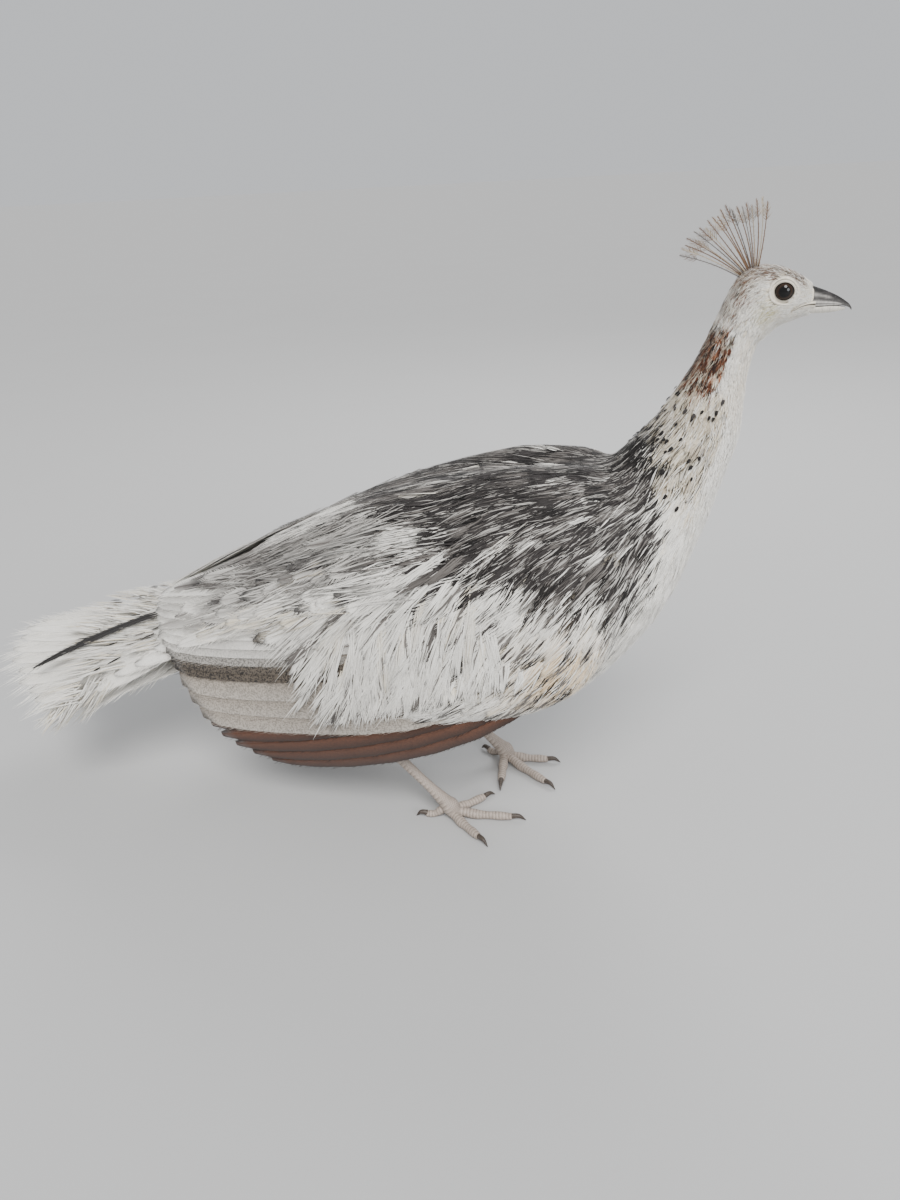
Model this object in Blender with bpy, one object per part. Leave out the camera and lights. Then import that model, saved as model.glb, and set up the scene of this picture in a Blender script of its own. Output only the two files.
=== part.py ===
"""A life-size Indian peahen, pied white and grey, standing low with the neck raised.

Metres, +Z up. The bird faces +X, its left side is +Y, and it stands on Z = 0.
The flesh is one smooth trunk from rump to bill, parted into torso, neck and head.
Wings, thighs, tail and crest are cut back to the trunk with a small gap.
"""
import bpy
import bmesh
import math
import random
from functools import lru_cache
import numpy as np

# Driving dimensions, in metres
GAP = 0.0003
BODY_TILT = math.radians(24)
BODY_CENTRE = (-0.020, 0.195)
EYE_RADIUS = 0.0074
EYE_CENTRE = (0.2270, 0.0108, 0.4500)
LID_RIM, LID_THICKNESS, LID_OUT = 0.0070, 0.0012, 0.0147
BILL_BASE_X = 0.2476
BILL_TIP = (0.2735, 0.4372)
NOSTRIL_PLACE, NOSTRIL_RADII = (0.0052, 0.0060, 0.4452), (0.0026, 0.0018, 0.0009)
TARSUS_LENGTH = 0.113
TARSUS_SLOPE = math.radians(45)
ANKLE_HEIGHT = 0.0125
FEET = {
    "left": {"at": (0.013, 0.047), "outer": 4, "middle": -36, "inner": -84, "hind": 150},
    "right": {"at": (-0.020, -0.049), "outer": -40, "middle": 5, "inner": 48, "hind": 190},
}
# Toes: length with claw, claw, height at the foot and at the claw, how fast it comes down, radius
TOES = {
    "outer": (0.056, 0.012, 0.0070, 0.0034, 2.2, 0.0048),
    "middle": (0.070, 0.012, 0.0070, 0.0034, 2.2, 0.0048),
    "inner": (0.052, 0.012, 0.0070, 0.0034, 2.2, 0.0048),
    "hind": (0.031, 0.009, 0.0120, 0.0024, 1.6, 0.0040),
}
KNEE_FROM_HOCK = (0.070, 0.050)
THIGH_RADII = [0.0085, 0.0145, 0.0230, 0.0260]
SHANK_RADII = [0.0070, 0.0058, 0.0046, 0.0052, 0.0062]
# The tips reach the floor, where they are cut flat
CLAW_RADII = [0.0024, 0.0018, 0.0006]
CLAW_HEIGHT, CLAW_TIP_HEIGHT = 0.0036, 0.0003
TAIL_ROOT = (-0.215, 0.172)
TAIL_PITCH = math.radians(9)
TAIL_ARCH = 0.160
TAIL_ROLL = math.radians(9)
TAIL_LAYER = 0.0015
FAN_FROM = 0.045
FAN_ROOT = 0.031
FAN_RATE = 0.60
CREST_STATIONS = (19.75, 18.15)
CREST_LENGTH = 0.047
CREST_COUNT = 19
CREST_LEANS = (82, 154)
CREST_ROWS = 5
CREST_RIDGE = (0.0048, 0.0028)
CREST_INSET = 0.14

# The trunk, section by section from rump to bill: (back x, z), (front x, z), half width
TRUNK = [
    ((-0.2430, 0.1930), (-0.2290, 0.1600), 0.0240),
    ((-0.2250, 0.2120), (-0.2000, 0.1350), 0.0480),
    ((-0.2000, 0.2330), (-0.1600, 0.1180), 0.0650),
    ((-0.1660, 0.2510), (-0.1180, 0.1050), 0.0780),
    ((-0.1250, 0.2700), (-0.0690, 0.0960), 0.0870),
    ((-0.0780, 0.2890), (-0.0060, 0.0960), 0.0920),
    ((-0.0350, 0.3020), (0.0520, 0.1080), 0.0920),
    ((-0.0050, 0.3090), (0.1060, 0.1430), 0.0870),
    ((0.0250, 0.3130), (0.1480, 0.1930), 0.0780),
    ((0.0560, 0.3150), (0.1660, 0.2260), 0.0670),
    ((0.0850, 0.3190), (0.1775, 0.2570), 0.0540),
    ((0.1120, 0.3240), (0.1880, 0.2860), 0.0410),
    ((0.1310, 0.3420), (0.1970, 0.3170), 0.0325),
    ((0.1485, 0.3610), (0.2050, 0.3450), 0.0265),
    ((0.1600, 0.3790), (0.2065, 0.3670), 0.0215),
    ((0.1715, 0.3985), (0.2075, 0.3895), 0.0172),
    ((0.1815, 0.4210), (0.2120, 0.4125), 0.0152),
    ((0.1880, 0.4375), (0.2160, 0.4165), 0.0156),
    ((0.1955, 0.4545), (0.2192, 0.4200), 0.0160),
    ((0.2040, 0.4628), (0.2232, 0.4236), 0.0163),
    ((0.2142, 0.4652), (0.2270, 0.4264), 0.0160),
    ((0.2258, 0.4634), (0.2322, 0.4288), 0.0148),
    ((0.2366, 0.4586), (0.2378, 0.4310), 0.0122),
    ((0.2431, 0.4543), (0.2428, 0.4324), 0.0097),
    ((BILL_BASE_X, 0.4512), (BILL_BASE_X, 0.4334), 0.0074),
]
NECK_FROM = 10.6
HEAD_FROM = 16.0
TRUNK_FULLNESS = 2.25
# Where the lofts of torso, neck and head have rings. What is cut clear of them is cut with the same
# rings, so that the gap is even.
TORSO_STATIONS = np.linspace(0.0, NECK_FROM, 22)
NECK_STATIONS = np.linspace(NECK_FROM, HEAD_FROM, 11)
HEAD_STATIONS = np.linspace(HEAD_FROM, len(TRUNK) - 1, 20)
BODY_STATIONS = np.concatenate([TORSO_STATIONS, NECK_STATIONS[1:4]])
TORSO_COLUMNS, NECK_COLUMNS, HEAD_COLUMNS = 32, 24, 24

# The wing's lay surface beside the body:
# (distance along the body, centre, half height above it, half height below it, half width)
WING_LAY = [
    (0.160, 0.000, 0.076, 0.085, 0.0730),
    (0.100, -0.004, 0.096, 0.112, 0.0880),
    (0.040, -0.002, 0.106, 0.130, 0.0945),
    (-0.020, 0.003, 0.108, 0.140, 0.0965),
    (-0.080, 0.007, 0.105, 0.143, 0.0920),
    (-0.140, 0.012, 0.099, 0.141, 0.0840),
    (-0.200, 0.018, 0.090, 0.135, 0.0745),
    (-0.260, 0.024, 0.080, 0.125, 0.0640),
    (-0.320, 0.030, 0.070, 0.115, 0.0530),
]
WING_FULLNESS_ABOVE = 2.3
WING_FULLNESS_BELOW = 2.5

# The fleshy fore part of the wing that carries the feathers: (distance along, lower girth, upper
# girth, thickness outwards). Girth is the length along the lay surface up from mid-side.
WING_PAD = [
    (0.146, -0.034, 0.026, 0.0034),
    (0.128, -0.062, 0.060, 0.0120),
    (0.106, -0.076, 0.084, 0.0154),
    (0.084, -0.082, 0.098, 0.0142),
    (0.056, -0.086, 0.106, 0.0114),
    (0.022, -0.084, 0.110, 0.0088),
    (-0.010, -0.078, 0.108, 0.0052),
    (-0.040, -0.066, 0.098, 0.0008),
]
PAD_DEPTH = 0.012

# Feather tiers of the wing, lowest feather first: how many, width, lift, slope of the lift across,
# and for the lowest and the highest feather (root along, root girth, tip girth)
VANE_THICKNESS = 0.0005
WING_TIERS = {
    "primaries": (5, 0.023, 0.0003, 0.115, (0.062, -0.074, -0.082), (0.046, -0.034, -0.029)),
    "secondaries": (11, 0.029, 0.0039, 0.098, (0.020, -0.060, -0.066), (0.014, 0.078, 0.110)),
    "greater_coverts": (7, 0.036, 0.0077, 0.085, (0.066, -0.056, -0.066), (0.060, 0.064, 0.094)),
    "median_coverts": (6, 0.036, 0.0117, 0.080, (0.107, -0.040, -0.058), (0.104, 0.048, 0.080)),
}
# The folded wing's rear end: blunt between the corners, longer above, rounded off below
WING_REAR = -0.240
UPPER_CORNER, UPPER_REACH = 0.040, 0.20
LOWER_CORNER, LOWER_ROUNDING = -0.020, 7.0
PRIMARY_CORNER, PRIMARY_ROUNDING = -0.022, 9.5
PRIMARY_BOW, FEATHER_BOW = -0.016, -0.003
COVERT_REACH = {"greater_coverts": -0.078, "median_coverts": 0.006}
COVERT_BULGE = 0.020

# Tail tiers: feathers on each side, start behind the root, length of the longest, how much shorter
# the outer ones are, width, and lift of the middle feather
TAIL_TIERS = {
    "tail_feathers": (8, 0.046, 0.246, 0.40, 0.044, -0.0010),
    "long_coverts": (6, 0.040, 0.132, 0.30, 0.040, 0.0092),
    "short_coverts": (4, 0.033, 0.080, 0.20, 0.042, 0.0168),
}
TAIL_VANE = [(0.0, 0.22, 1.6), (0.30, 0.74, 1.0), (0.66, 1.0, 1.0), (0.92, 0.82, 0.9), (1.0, 0.38, 0.7)]
# The tail's core: (distance behind the root, half width, top, bottom)
TAIL_CORE = [
    (0.000, 0.032, 0.0190, -0.0200),
    (0.030, 0.038, 0.0220, -0.0210),
    (0.054, 0.038, 0.0195, -0.0200),
    (0.072, 0.028, 0.0110, -0.0160),
    (0.088, 0.012, 0.0005, -0.0110),
]
TAIL_CORE_FULLNESS = 3.5

# A crest feather: (share of its length, half width of its flat, thickness)
CREST_FEATHER = [
    (0.0, 0.00045, 0.0009),
    (0.70, 0.00036, 0.0007),
    (0.80, 0.0016, 0.0006),
    (0.93, 0.0036, 0.0006),
    (1.0, 0.0018, 0.0005),
]

COLOURS = {
    "white": (0.83, 0.82, 0.78, 1, 0.75),
    "grey": (0.30, 0.29, 0.28, 1, 0.80),
    "neck": (0.66, 0.63, 0.57, 1, 0.78),
    "bill": (0.05, 0.045, 0.042, 1, 0.35),
    "horn": (0.34, 0.30, 0.26, 1, 0.40),
    "eye": (0.012, 0.010, 0.009, 1, 0.08),
    "leg": (0.56, 0.50, 0.47, 1, 0.60),
    "crest": (0.22, 0.15, 0.10, 1, 0.80),
}


def clear_scene():
    for old in list(bpy.data.objects):
        bpy.data.objects.remove(old)


def material(name):
    made = bpy.data.materials.get(name)
    if made is None:
        red, green, blue, alpha, roughness = COLOURS[name]
        made = bpy.data.materials.new(name)
        made.use_nodes = True
        shader = made.node_tree.nodes["Principled BSDF"]
        shader.inputs["Base Color"].default_value = (red, green, blue, alpha)
        shader.inputs["Roughness"].default_value = roughness
        shader.inputs["Metallic"].default_value = 0.0
    return made


def smooth_rows(keys, rows, at):
    """Rows of numbers given at the keys, read at other places on a smooth curve through them."""
    keys, rows, at = (np.asarray(part, float) for part in (keys, rows, at))
    slopes = np.gradient(rows, keys, axis=0)
    index = np.clip(np.searchsorted(keys, at, side="right") - 1, 0, len(keys) - 2)
    span = (keys[index + 1] - keys[index])[:, None]
    share = ((at - keys[index])[:, None]) / span
    start, end = rows[index], rows[index + 1]
    rise, fall = slopes[index] * span, slopes[index + 1] * span
    return (
        (2 * share**3 - 3 * share**2 + 1) * start
        + (share**3 - 2 * share**2 + share) * rise
        + (3 * share**2 - 2 * share**3) * end
        + (share**3 - share**2) * fall
    )


def mesh_object(name, points, faces, colour):
    mesh = bpy.data.meshes.new(name)
    mesh.from_pydata([tuple(point) for point in points], [], faces)
    mesh.materials.append(material(colour))
    made = bpy.data.objects.new(name, mesh)
    bpy.context.scene.collection.objects.link(made)
    shape = bmesh.new()
    shape.from_mesh(mesh)
    bmesh.ops.recalc_face_normals(shape, faces=shape.faces)
    shape.to_mesh(mesh)
    shape.free()
    return made


def loft(name, rings, colour):
    """A closed skin through rings of the same number of points, with a flat cap at each end.

    Every quad is split the same way, so that a cutter grown from the same rings lies even with it."""
    count = len(rings[0])
    points = np.concatenate(rings)
    faces = []
    for row in range(len(rings) - 1):
        for column in range(count):
            after = (column + 1) % count
            low, high = row * count, (row + 1) * count
            faces.append((low + column, low + after, high + after))
            faces.append((low + column, high + after, high + column))
    last = (len(rings) - 1) * count
    faces.append(tuple(reversed(range(count))))
    faces.append(tuple(range(last, last + count)))
    return mesh_object(name, points, faces, colour)


def superellipse(angle, fullness):
    """Cosine and sine of an angle, pushed outwards for a fuller outline than an ellipse."""
    cosine, sine = np.cos(angle), np.sin(angle)
    power = 2 / fullness
    return np.sign(cosine) * np.abs(cosine) ** power, np.sign(sine) * np.abs(sine) ** power


def trunk_ring(station, count, grow=0.0):
    """Points round the trunk at a station number, starting at the back, grown outwards by a distance."""
    rows = [(*back, *front, width) for back, front, width in TRUNK]
    row = smooth_rows(range(len(TRUNK)), rows, [station])[0]
    back = np.array([row[0], 0.0, row[1]])
    front = np.array([row[2], 0.0, row[3]])
    centre, half = (back + front) / 2, (back - front) / 2
    half *= 1 + grow / np.linalg.norm(half)
    along, across = superellipse(np.arange(count) / count * 2 * math.pi, TRUNK_FULLNESS)
    side = np.array([0.0, row[4] + grow, 0.0])
    return centre + np.outer(along, half) + np.outer(across, side)


def ring_normal(ring):
    """The unit normal of a trunk ring, towards the head."""
    count = len(ring)
    toward_back = ring[0] - ring[count // 2]
    normal = np.cross(ring[count // 4] - ring[3 * count // 4], toward_back)
    return normal / np.linalg.norm(normal)


def shrunk(ring, share, shift):
    """A ring made smaller about its centre and moved, for a rounded end."""
    centre = ring.mean(axis=0)
    return centre + (ring - centre) * share + shift


def boolean(target, other, operation, solver="EXACT"):
    """Applies one Boolean of target with an object or a collection, then removes what it used."""
    modifier = target.modifiers.new(operation.lower(), "BOOLEAN")
    modifier.operation = operation
    modifier.solver = solver
    if isinstance(other, bpy.types.Collection):
        modifier.operand_type = "COLLECTION"
        modifier.collection = other
        used = list(other.objects)
    else:
        modifier.object = other
        used = [other]
    graph = bpy.context.evaluated_depsgraph_get()
    result = bpy.data.meshes.new_from_object(target.evaluated_get(graph))
    target.modifiers.clear()
    target.data = result
    for helper in used:
        bpy.data.objects.remove(helper)
    if isinstance(other, bpy.types.Collection):
        bpy.data.collections.remove(other)


def keep_largest(target):
    """Drops all but the largest closed surface of a mesh."""
    shape = bmesh.new()
    shape.from_mesh(target.data)
    bmesh.ops.triangulate(shape, faces=shape.faces)
    unseen, groups = set(shape.verts), []
    while unseen:
        front = [unseen.pop()]
        group = set(front)
        while front:
            for edge in front.pop().link_edges:
                for vertex in edge.verts:
                    if vertex in unseen:
                        unseen.discard(vertex)
                        group.add(vertex)
                        front.append(vertex)
        groups.append(group)

    def volume(group):
        faces = {face for vertex in group for face in vertex.link_faces}
        return abs(sum(f.verts[0].co.dot(f.verts[1].co.cross(f.verts[2].co)) for f in faces))

    largest = max(groups, key=volume)
    loose = [vertex for vertex in shape.verts if vertex not in largest]
    bmesh.ops.delete(shape, geom=loose, context="VERTS")
    shape.to_mesh(target.data)
    shape.free()


def fuse(target, pieces, solver="EXACT"):
    """Joins pieces to target as one closed body."""
    group = bpy.data.collections.new(target.name + "_pieces")
    bpy.context.scene.collection.children.link(group)
    for piece in pieces:
        bpy.context.scene.collection.objects.unlink(piece)
        group.objects.link(piece)
    boolean(target, group, "UNION", solver)
    keep_largest(target)


def trunk_rings(stations, count, grow=0.0):
    """Rings of the trunk at some stations, with the rump's rounded end where they start at 0."""
    made = [trunk_ring(station, count, grow) for station in stations]
    if stations[0] == 0.0:
        made.insert(0, shrunk(made[0], 0.5, -(0.004 + grow) * ring_normal(made[0])))
    return made


def cut_clear_of_trunk(target, stations=BODY_STATIONS, count=TORSO_COLUMNS):
    """Cuts target back from the trunk, leaving a gap."""
    boolean(target, loft("trunk_cutter", trunk_rings(stations, count, GAP), "grey"), "DIFFERENCE")
    keep_largest(target)


def finish_shading(target, angle=35):
    target.data.shade_smooth()
    target.data.set_sharp_from_angle(angle=math.radians(angle))


def body_point(along, side, height):
    """A point in the body's own tilted frame: along the back, to the left, and up from the centre line."""
    cosine, sine = math.cos(BODY_TILT), math.sin(BODY_TILT)
    x = BODY_CENTRE[0] + along * cosine - height * sine
    z = BODY_CENTRE[1] + along * sine + height * cosine
    return np.array([x, side, z])


def lay_point(along, degrees, lift, side):
    """A point on the wing's lay surface, lifted off it, on the left (side 1) or the right (side -1)."""
    keys = [row[0] for row in WING_LAY][::-1]
    rows = [row[1:] for row in WING_LAY][::-1]
    centre, above, below, half_width = smooth_rows(keys, rows, [along])[0]
    half_height, fullness = (above, WING_FULLNESS_ABOVE) if degrees > 0 else (below, WING_FULLNESS_BELOW)
    across, up = superellipse(np.array([math.radians(degrees)]), fullness)
    return body_point(
        along,
        side * (half_width + lift) * across[0],
        centre + (half_height + lift) * up[0],
    )


def build_torso():
    return loft("torso", trunk_rings(TORSO_STATIONS, TORSO_COLUMNS), "white")


def build_neck():
    rings = trunk_rings(NECK_STATIONS, NECK_COLUMNS)
    rings[0] = rings[0] + GAP * ring_normal(rings[0])
    return loft("neck", rings, "neck")


def ball(name, centre, radii, colour, segments=16, rings=10):
    shape = bmesh.new()
    bmesh.ops.create_uvsphere(shape, u_segments=segments, v_segments=rings, radius=1.0)
    mesh = bpy.data.meshes.new(name)
    shape.to_mesh(mesh)
    shape.free()
    mesh.materials.append(material(colour))
    points = np.array([vertex.co for vertex in mesh.vertices]) * np.array(radii) + np.array(centre)
    mesh.vertices.foreach_set("co", points.astype(np.float32).ravel())
    made = bpy.data.objects.new(name, mesh)
    bpy.context.scene.collection.objects.link(made)
    return made


def tube(name, path, radii, colour, count=10, flatten=1.0):
    """A closed tube along a list of points, with a radius at each, flattened across Z if asked."""
    path = [np.asarray(point, float) for point in path]
    rings = []
    for index, point in enumerate(path):
        ahead = path[min(index + 1, len(path) - 1)]
        behind = path[max(index - 1, 0)]
        direction = (ahead - behind) / np.linalg.norm(ahead - behind)
        level = np.array([0.0, 0.0, 1.0]) if abs(direction[2]) < 0.95 else np.array([1.0, 0.0, 0.0])
        side = np.cross(level, direction)
        side /= np.linalg.norm(side)
        rise = np.cross(direction, side)
        angles = np.arange(count) / count * 2 * math.pi
        rings.append(
            point
            + np.outer(np.cos(angles), side) * radii[index]
            + np.outer(np.sin(angles), rise) * radii[index] * flatten
        )
    return loft(name, rings, colour)


def lid_ring(side):
    """The fleshy rim of the lids, raised round the eye opening."""
    shape = bmesh.new()
    around, across = 16, 6
    centre = np.array([EYE_CENTRE[0], side * LID_OUT, EYE_CENTRE[2]])
    grid = []
    for step in range(around):
        angle = step / around * 2 * math.pi
        out = np.array([math.cos(angle), 0.0, math.sin(angle)])
        rows = []
        for turn in range(across):
            roll = turn / across * 2 * math.pi
            point = centre + out * (LID_RIM + LID_THICKNESS * math.cos(roll))
            point = point + np.array([0.0, side * LID_THICKNESS * math.sin(roll), 0.0])
            rows.append(shape.verts.new(point))
        grid.append(rows)
    for step in range(around):
        for turn in range(across):
            after, above = (step + 1) % around, (turn + 1) % across
            shape.faces.new((grid[step][turn], grid[after][turn], grid[after][above], grid[step][above]))
    bmesh.ops.recalc_face_normals(shape, faces=shape.faces)
    mesh = bpy.data.meshes.new("lid")
    shape.to_mesh(mesh)
    shape.free()
    made = bpy.data.objects.new("lid", mesh)
    bpy.context.scene.collection.objects.link(made)
    return made


def build_head():
    rings = trunk_rings(HEAD_STATIONS, HEAD_COLUMNS)
    rings[0] = rings[0] + GAP * ring_normal(rings[0])
    head = loft("head", rings, "white")
    fuse(head, [lid_ring(1), lid_ring(-1)])
    for side in (1, -1):
        centre = (EYE_CENTRE[0], side * EYE_CENTRE[1], EYE_CENTRE[2])
        socket = ball("socket", centre, [EYE_RADIUS + GAP] * 3, "eye", 14, 10)
        boolean(head, socket, "DIFFERENCE")
        boolean(head, mouth_groove(side), "DIFFERENCE")
    keep_largest(head)
    return head


def mouth_groove(side):
    """A narrow wedge along the gape, from below the eye to the bill."""
    path = [(0.2335, 0.4352), (0.2385, 0.4368), (0.2435, 0.4378), (0.2500, 0.4383)]
    depths = [0.0118, 0.0098, 0.0076, 0.0050]
    half = 0.0004
    rings = []
    for (x, z), depth in zip(path, depths):
        inner, outer = side * depth, side * 0.0200
        rings.append(
            np.array([(x, inner, z - half), (x, outer, z - half), (x, outer, z + half), (x, inner, z + half)])
        )
    return loft("groove", rings, "bill")


def build_eye(side, name):
    centre = (EYE_CENTRE[0], side * EYE_CENTRE[1], EYE_CENTRE[2])
    return ball(name, centre, [EYE_RADIUS] * 3, "eye", 14, 9)


def bill_rings(profile, count):
    """Half-round bill sections: (x, mouth-line z, outer z, half width) from base to tip."""
    rings = []
    for x, inner, outer, width in profile:
        points = []
        for step in range(count):
            angle = math.pi * step / (count - 1)
            points.append((x, width * math.cos(angle), inner + (outer - inner) * math.sin(angle)))
        rings.append(np.array(points))
    return rings


def build_bill():
    tip_x, tip_z = BILL_TIP
    base = BILL_BASE_X + GAP
    upper = [
        (base, 0.4388, 0.4510, 0.0071),
        (base + 0.0050, 0.4390, 0.4492, 0.0062),
        (base + 0.0105, 0.4391, 0.4470, 0.0050),
        (base + 0.0160, 0.4389, 0.4443, 0.0037),
        (base + 0.0210, 0.4381, 0.4412, 0.0023),
        (tip_x - 0.0018, 0.4368, 0.4388, 0.0012),
        (tip_x, tip_z - 0.0022, tip_z - 0.0012, 0.0004),
    ]
    lower = [
        (base, 0.4382, 0.4336, 0.0067),
        (base + 0.0060, 0.4384, 0.4336, 0.0055),
        (base + 0.0120, 0.4385, 0.4341, 0.0042),
        (base + 0.0172, 0.4381, 0.4348, 0.0028),
        (base + 0.0212, 0.4372, 0.4356, 0.0012),
    ]
    top = loft("bill_upper", bill_rings(upper, 9), "bill")
    bottom = loft("bill_lower", bill_rings(lower, 8), "horn")
    for side in (1, -1):
        centre = (base + NOSTRIL_PLACE[0], side * NOSTRIL_PLACE[1], NOSTRIL_PLACE[2])
        boolean(top, ball("nostril", centre, NOSTRIL_RADII, "bill", 10, 6), "DIFFERENCE")
    keep_largest(top)
    return [top, bottom]


@lru_cache(maxsize=None)
def girth_table(along):
    """Degrees round the lay surface, with the length along it from mid-side to each."""
    degrees = np.linspace(-88, 88, 177)
    points = np.array([lay_point(along, angle, 0.0, 1) for angle in degrees])
    steps = np.linalg.norm(np.diff(points, axis=0), axis=1)
    girth = np.concatenate([[0.0], np.cumsum(steps)])
    return degrees, girth - np.interp(0.0, degrees, girth)


def lay_at(along, girth, lift, side):
    """A point on the lay surface by its length along the body and its girth up from mid-side."""
    along = round(float(along), 4)
    degrees, table = girth_table(along)
    return lay_point(along, float(np.interp(girth, table, degrees)), lift, side)


def vane(name, sections, colour):
    """A closed thin feather through six-point sections: three points above, three below.

    Both faces are split into triangles alike, so that they never cross."""
    faces = []
    for row in range(len(sections) - 1):
        low, high = row * 6, row * 6 + 6
        for step in range(6):
            after = (step + 1) % 6
            if step in (0, 1, 2):
                faces.append((low + step, low + after, high + after))
                faces.append((low + step, high + after, high + step))
            else:
                faces.append((low + step, low + after, high + step))
                faces.append((low + after, high + after, high + step))
    for row, flip in ((0, True), (len(sections) - 1, False)):
        start = row * 6
        for corners in ((0, 1, 4), (0, 4, 5), (1, 2, 3), (1, 3, 4)):
            face = tuple(start + corner for corner in corners)
            faces.append(face[::-1] if flip else face)
    return mesh_object(name, np.concatenate(sections), faces, colour)


# A feather's outline: (share of its length, share of its half width, share of its thickness)
LONG_VANE = [
    (0.0, 0.28, 1.8),
    (0.20, 0.85, 1.0),
    (0.46, 1.0, 1.0),
    (0.72, 1.0, 1.0),
    (0.93, 0.78, 0.9),
    (1.0, 0.34, 0.7),
]
SHORT_VANE = [(0.0, 0.28, 1.8), (0.30, 0.92, 1.0), (0.66, 1.0, 1.0), (0.90, 0.78, 0.9), (1.0, 0.28, 0.7)]


def wing_vane(side, root, tip, width, lift, slope, bow, outline):
    """One wing feather; root and tip are (distance along, girth), and the lower edge stands out."""
    sections = []
    for share, half_share, thick_share in outline:
        along = root[0] + (tip[0] - root[0]) * share
        girth = root[1] + (tip[1] - root[1]) * share + bow * math.sin(math.pi * share)
        half = width / 2 * half_share
        thick = VANE_THICKNESS * thick_share
        offsets = (half, 0.0, -half)
        lifts = [lift + slope * (width / 2 - offset) for offset in offsets]
        top = [lay_at(along, girth + o, h + thick, side) for o, h in zip(offsets, lifts)]
        low = [lay_at(along, girth + o, h, side) for o, h in zip(offsets, lifts)]
        sections.append(np.array(top + low[::-1]))
    return vane("vane", sections, "white")


def tier_tip(tier, share, tip_girth):
    """How far along the body a feather of a tier ends, at a share of the tier and a girth."""
    if tier == "primaries":
        return WING_REAR + PRIMARY_ROUNDING * (tip_girth - PRIMARY_CORNER) ** 2
    if tier == "secondaries":
        below, above = max(0.0, LOWER_CORNER - tip_girth), max(0.0, tip_girth - UPPER_CORNER)
        return WING_REAR + LOWER_ROUNDING * below**2 - UPPER_REACH * above
    return COVERT_REACH[tier] - COVERT_BULGE * math.sin(math.pi * share)


def wing_vanes(side):
    """Every feather of one wing, tier by tier, in a list of (tier, object)."""
    made = []
    for tier, (count, width, lift, slope, first, last) in WING_TIERS.items():
        for place in range(count):
            share = place / (count - 1)
            root_along, root_girth, tip_girth = np.array(first) + (np.array(last) - first) * share
            tip = (tier_tip(tier, share, tip_girth), tip_girth)
            bow = PRIMARY_BOW * (1 - share) if tier == "primaries" else FEATHER_BOW
            outline = SHORT_VANE if tier.endswith("coverts") else LONG_VANE
            feather = wing_vane(side, (root_along, root_girth), tip, width, lift, slope, bow, outline)
            made.append((tier, feather))
    return made


def wing_pad(side):
    """The blade of flesh and small feathers at the front of the wing, as one smooth solid."""
    columns = 9
    keys = [row[0] for row in WING_PAD][::-1]
    rows = [row[1:] for row in WING_PAD][::-1]
    rings = []
    for along in np.linspace(WING_PAD[0][0], WING_PAD[-1][0], 10):
        low, high, thick = smooth_rows(keys, rows, [along])[0]
        outer, inner = [], []
        for column in range(columns + 1):
            across = column / columns
            girth = low + (high - low) * across
            round_off = math.sqrt(max(0.0, 1 - (2 * across - 1) ** 6))
            outer.append(lay_at(along, girth, thick * round_off, side))
            inner.append(lay_at(along, girth, -PAD_DEPTH * round_off - 0.0008, side))
        rings.append(np.array(outer + inner[::-1]))
    return loft("pad", rings, "grey")


def build_wing(side, name):
    """A folded wing: tiers of feathers whose roots are sunk in the pad."""
    wing = wing_pad(side)
    wing.name = name
    cut_clear_of_trunk(wing)
    fuse(wing, [feather for tier, feather in wing_vanes(side)])
    return wing


def tail_point(reach, spread, lift):
    """A point on the arched tail surface: distance behind the root, arc to the left, height off it."""
    out = np.array([-math.cos(TAIL_PITCH), 0.0, -math.sin(TAIL_PITCH)])
    up = np.array([-math.sin(TAIL_PITCH), 0.0, math.cos(TAIL_PITCH)])
    angle = spread / TAIL_ARCH
    root = np.array([TAIL_ROOT[0], 0.0, TAIL_ROOT[1]])
    rise = (TAIL_ARCH + lift) * math.cos(angle) - TAIL_ARCH
    across = (TAIL_ARCH + lift) * math.sin(angle)
    rolled_rise = rise * math.cos(TAIL_ROLL) + across * math.sin(TAIL_ROLL)
    rolled_across = across * math.cos(TAIL_ROLL) - rise * math.sin(TAIL_ROLL)
    return root + out * reach + up * rolled_rise + np.array([0.0, rolled_across, 0.0])


def fan_spread(place, count, reach):
    """How far from the middle a feather's shaft lies at a distance from the tail's root."""
    return (place + 0.5) / count * (FAN_ROOT + FAN_RATE * max(0.0, reach - FAN_FROM))


def tail_vane(side, place, count, start, length, width, lift, across_middle=False):
    """One tail feather, on its own side of the middle unless it is one of the central pair."""
    sections = []
    for share, half_share, thick_share in TAIL_VANE:
        reach = start + length * share
        shaft = fan_spread(place, count, reach)
        half = width / 2 * half_share
        inner, outer = shaft - half, shaft + half
        if not across_middle:
            inner = max(inner, GAP + 0.0004 * place)
        thick = VANE_THICKNESS * thick_share
        spreads = (outer, (inner + outer) / 2, inner)
        top = [tail_point(reach, side * x, lift + thick) for x in spreads]
        low = [tail_point(reach, side * x, lift) for x in spreads]
        sections.append(np.array(top + low[::-1]))
    return vane("vane", sections, "white")


def tail_vanes():
    """The tail's feathers in tiers, the middle pair on top of each side's fan, then two rows of coverts."""
    made = []
    for tier, (count, start, longest, shorter, width, base) in TAIL_TIERS.items():
        for side in (1, -1):
            for place in range(count):
                share = place / (count - 1)
                length = longest * (1 - shorter * share**1.6)
                lift = base - place * TAIL_LAYER
                middle = place == 0
                if middle and side == 1:
                    lift += TAIL_LAYER
                feather = tail_vane(side, place, count, start, length, width, lift, middle)
                made.append((tier, feather))
    return made


def tail_core():
    """The fleshy root of the tail, behind the rump and under its feathers."""
    rings = []
    for reach, half_width, top, bottom in TAIL_CORE:
        angles = np.arange(16) / 16 * 2 * math.pi
        ring = []
        for across, over in zip(*superellipse(angles, TAIL_CORE_FULLNESS)):
            lift = (top + bottom) / 2 + (top - bottom) / 2 * over
            ring.append(tail_point(reach, half_width * across, lift))
        rings.append(np.array(ring))
    return loft("core", rings, "white")


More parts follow.
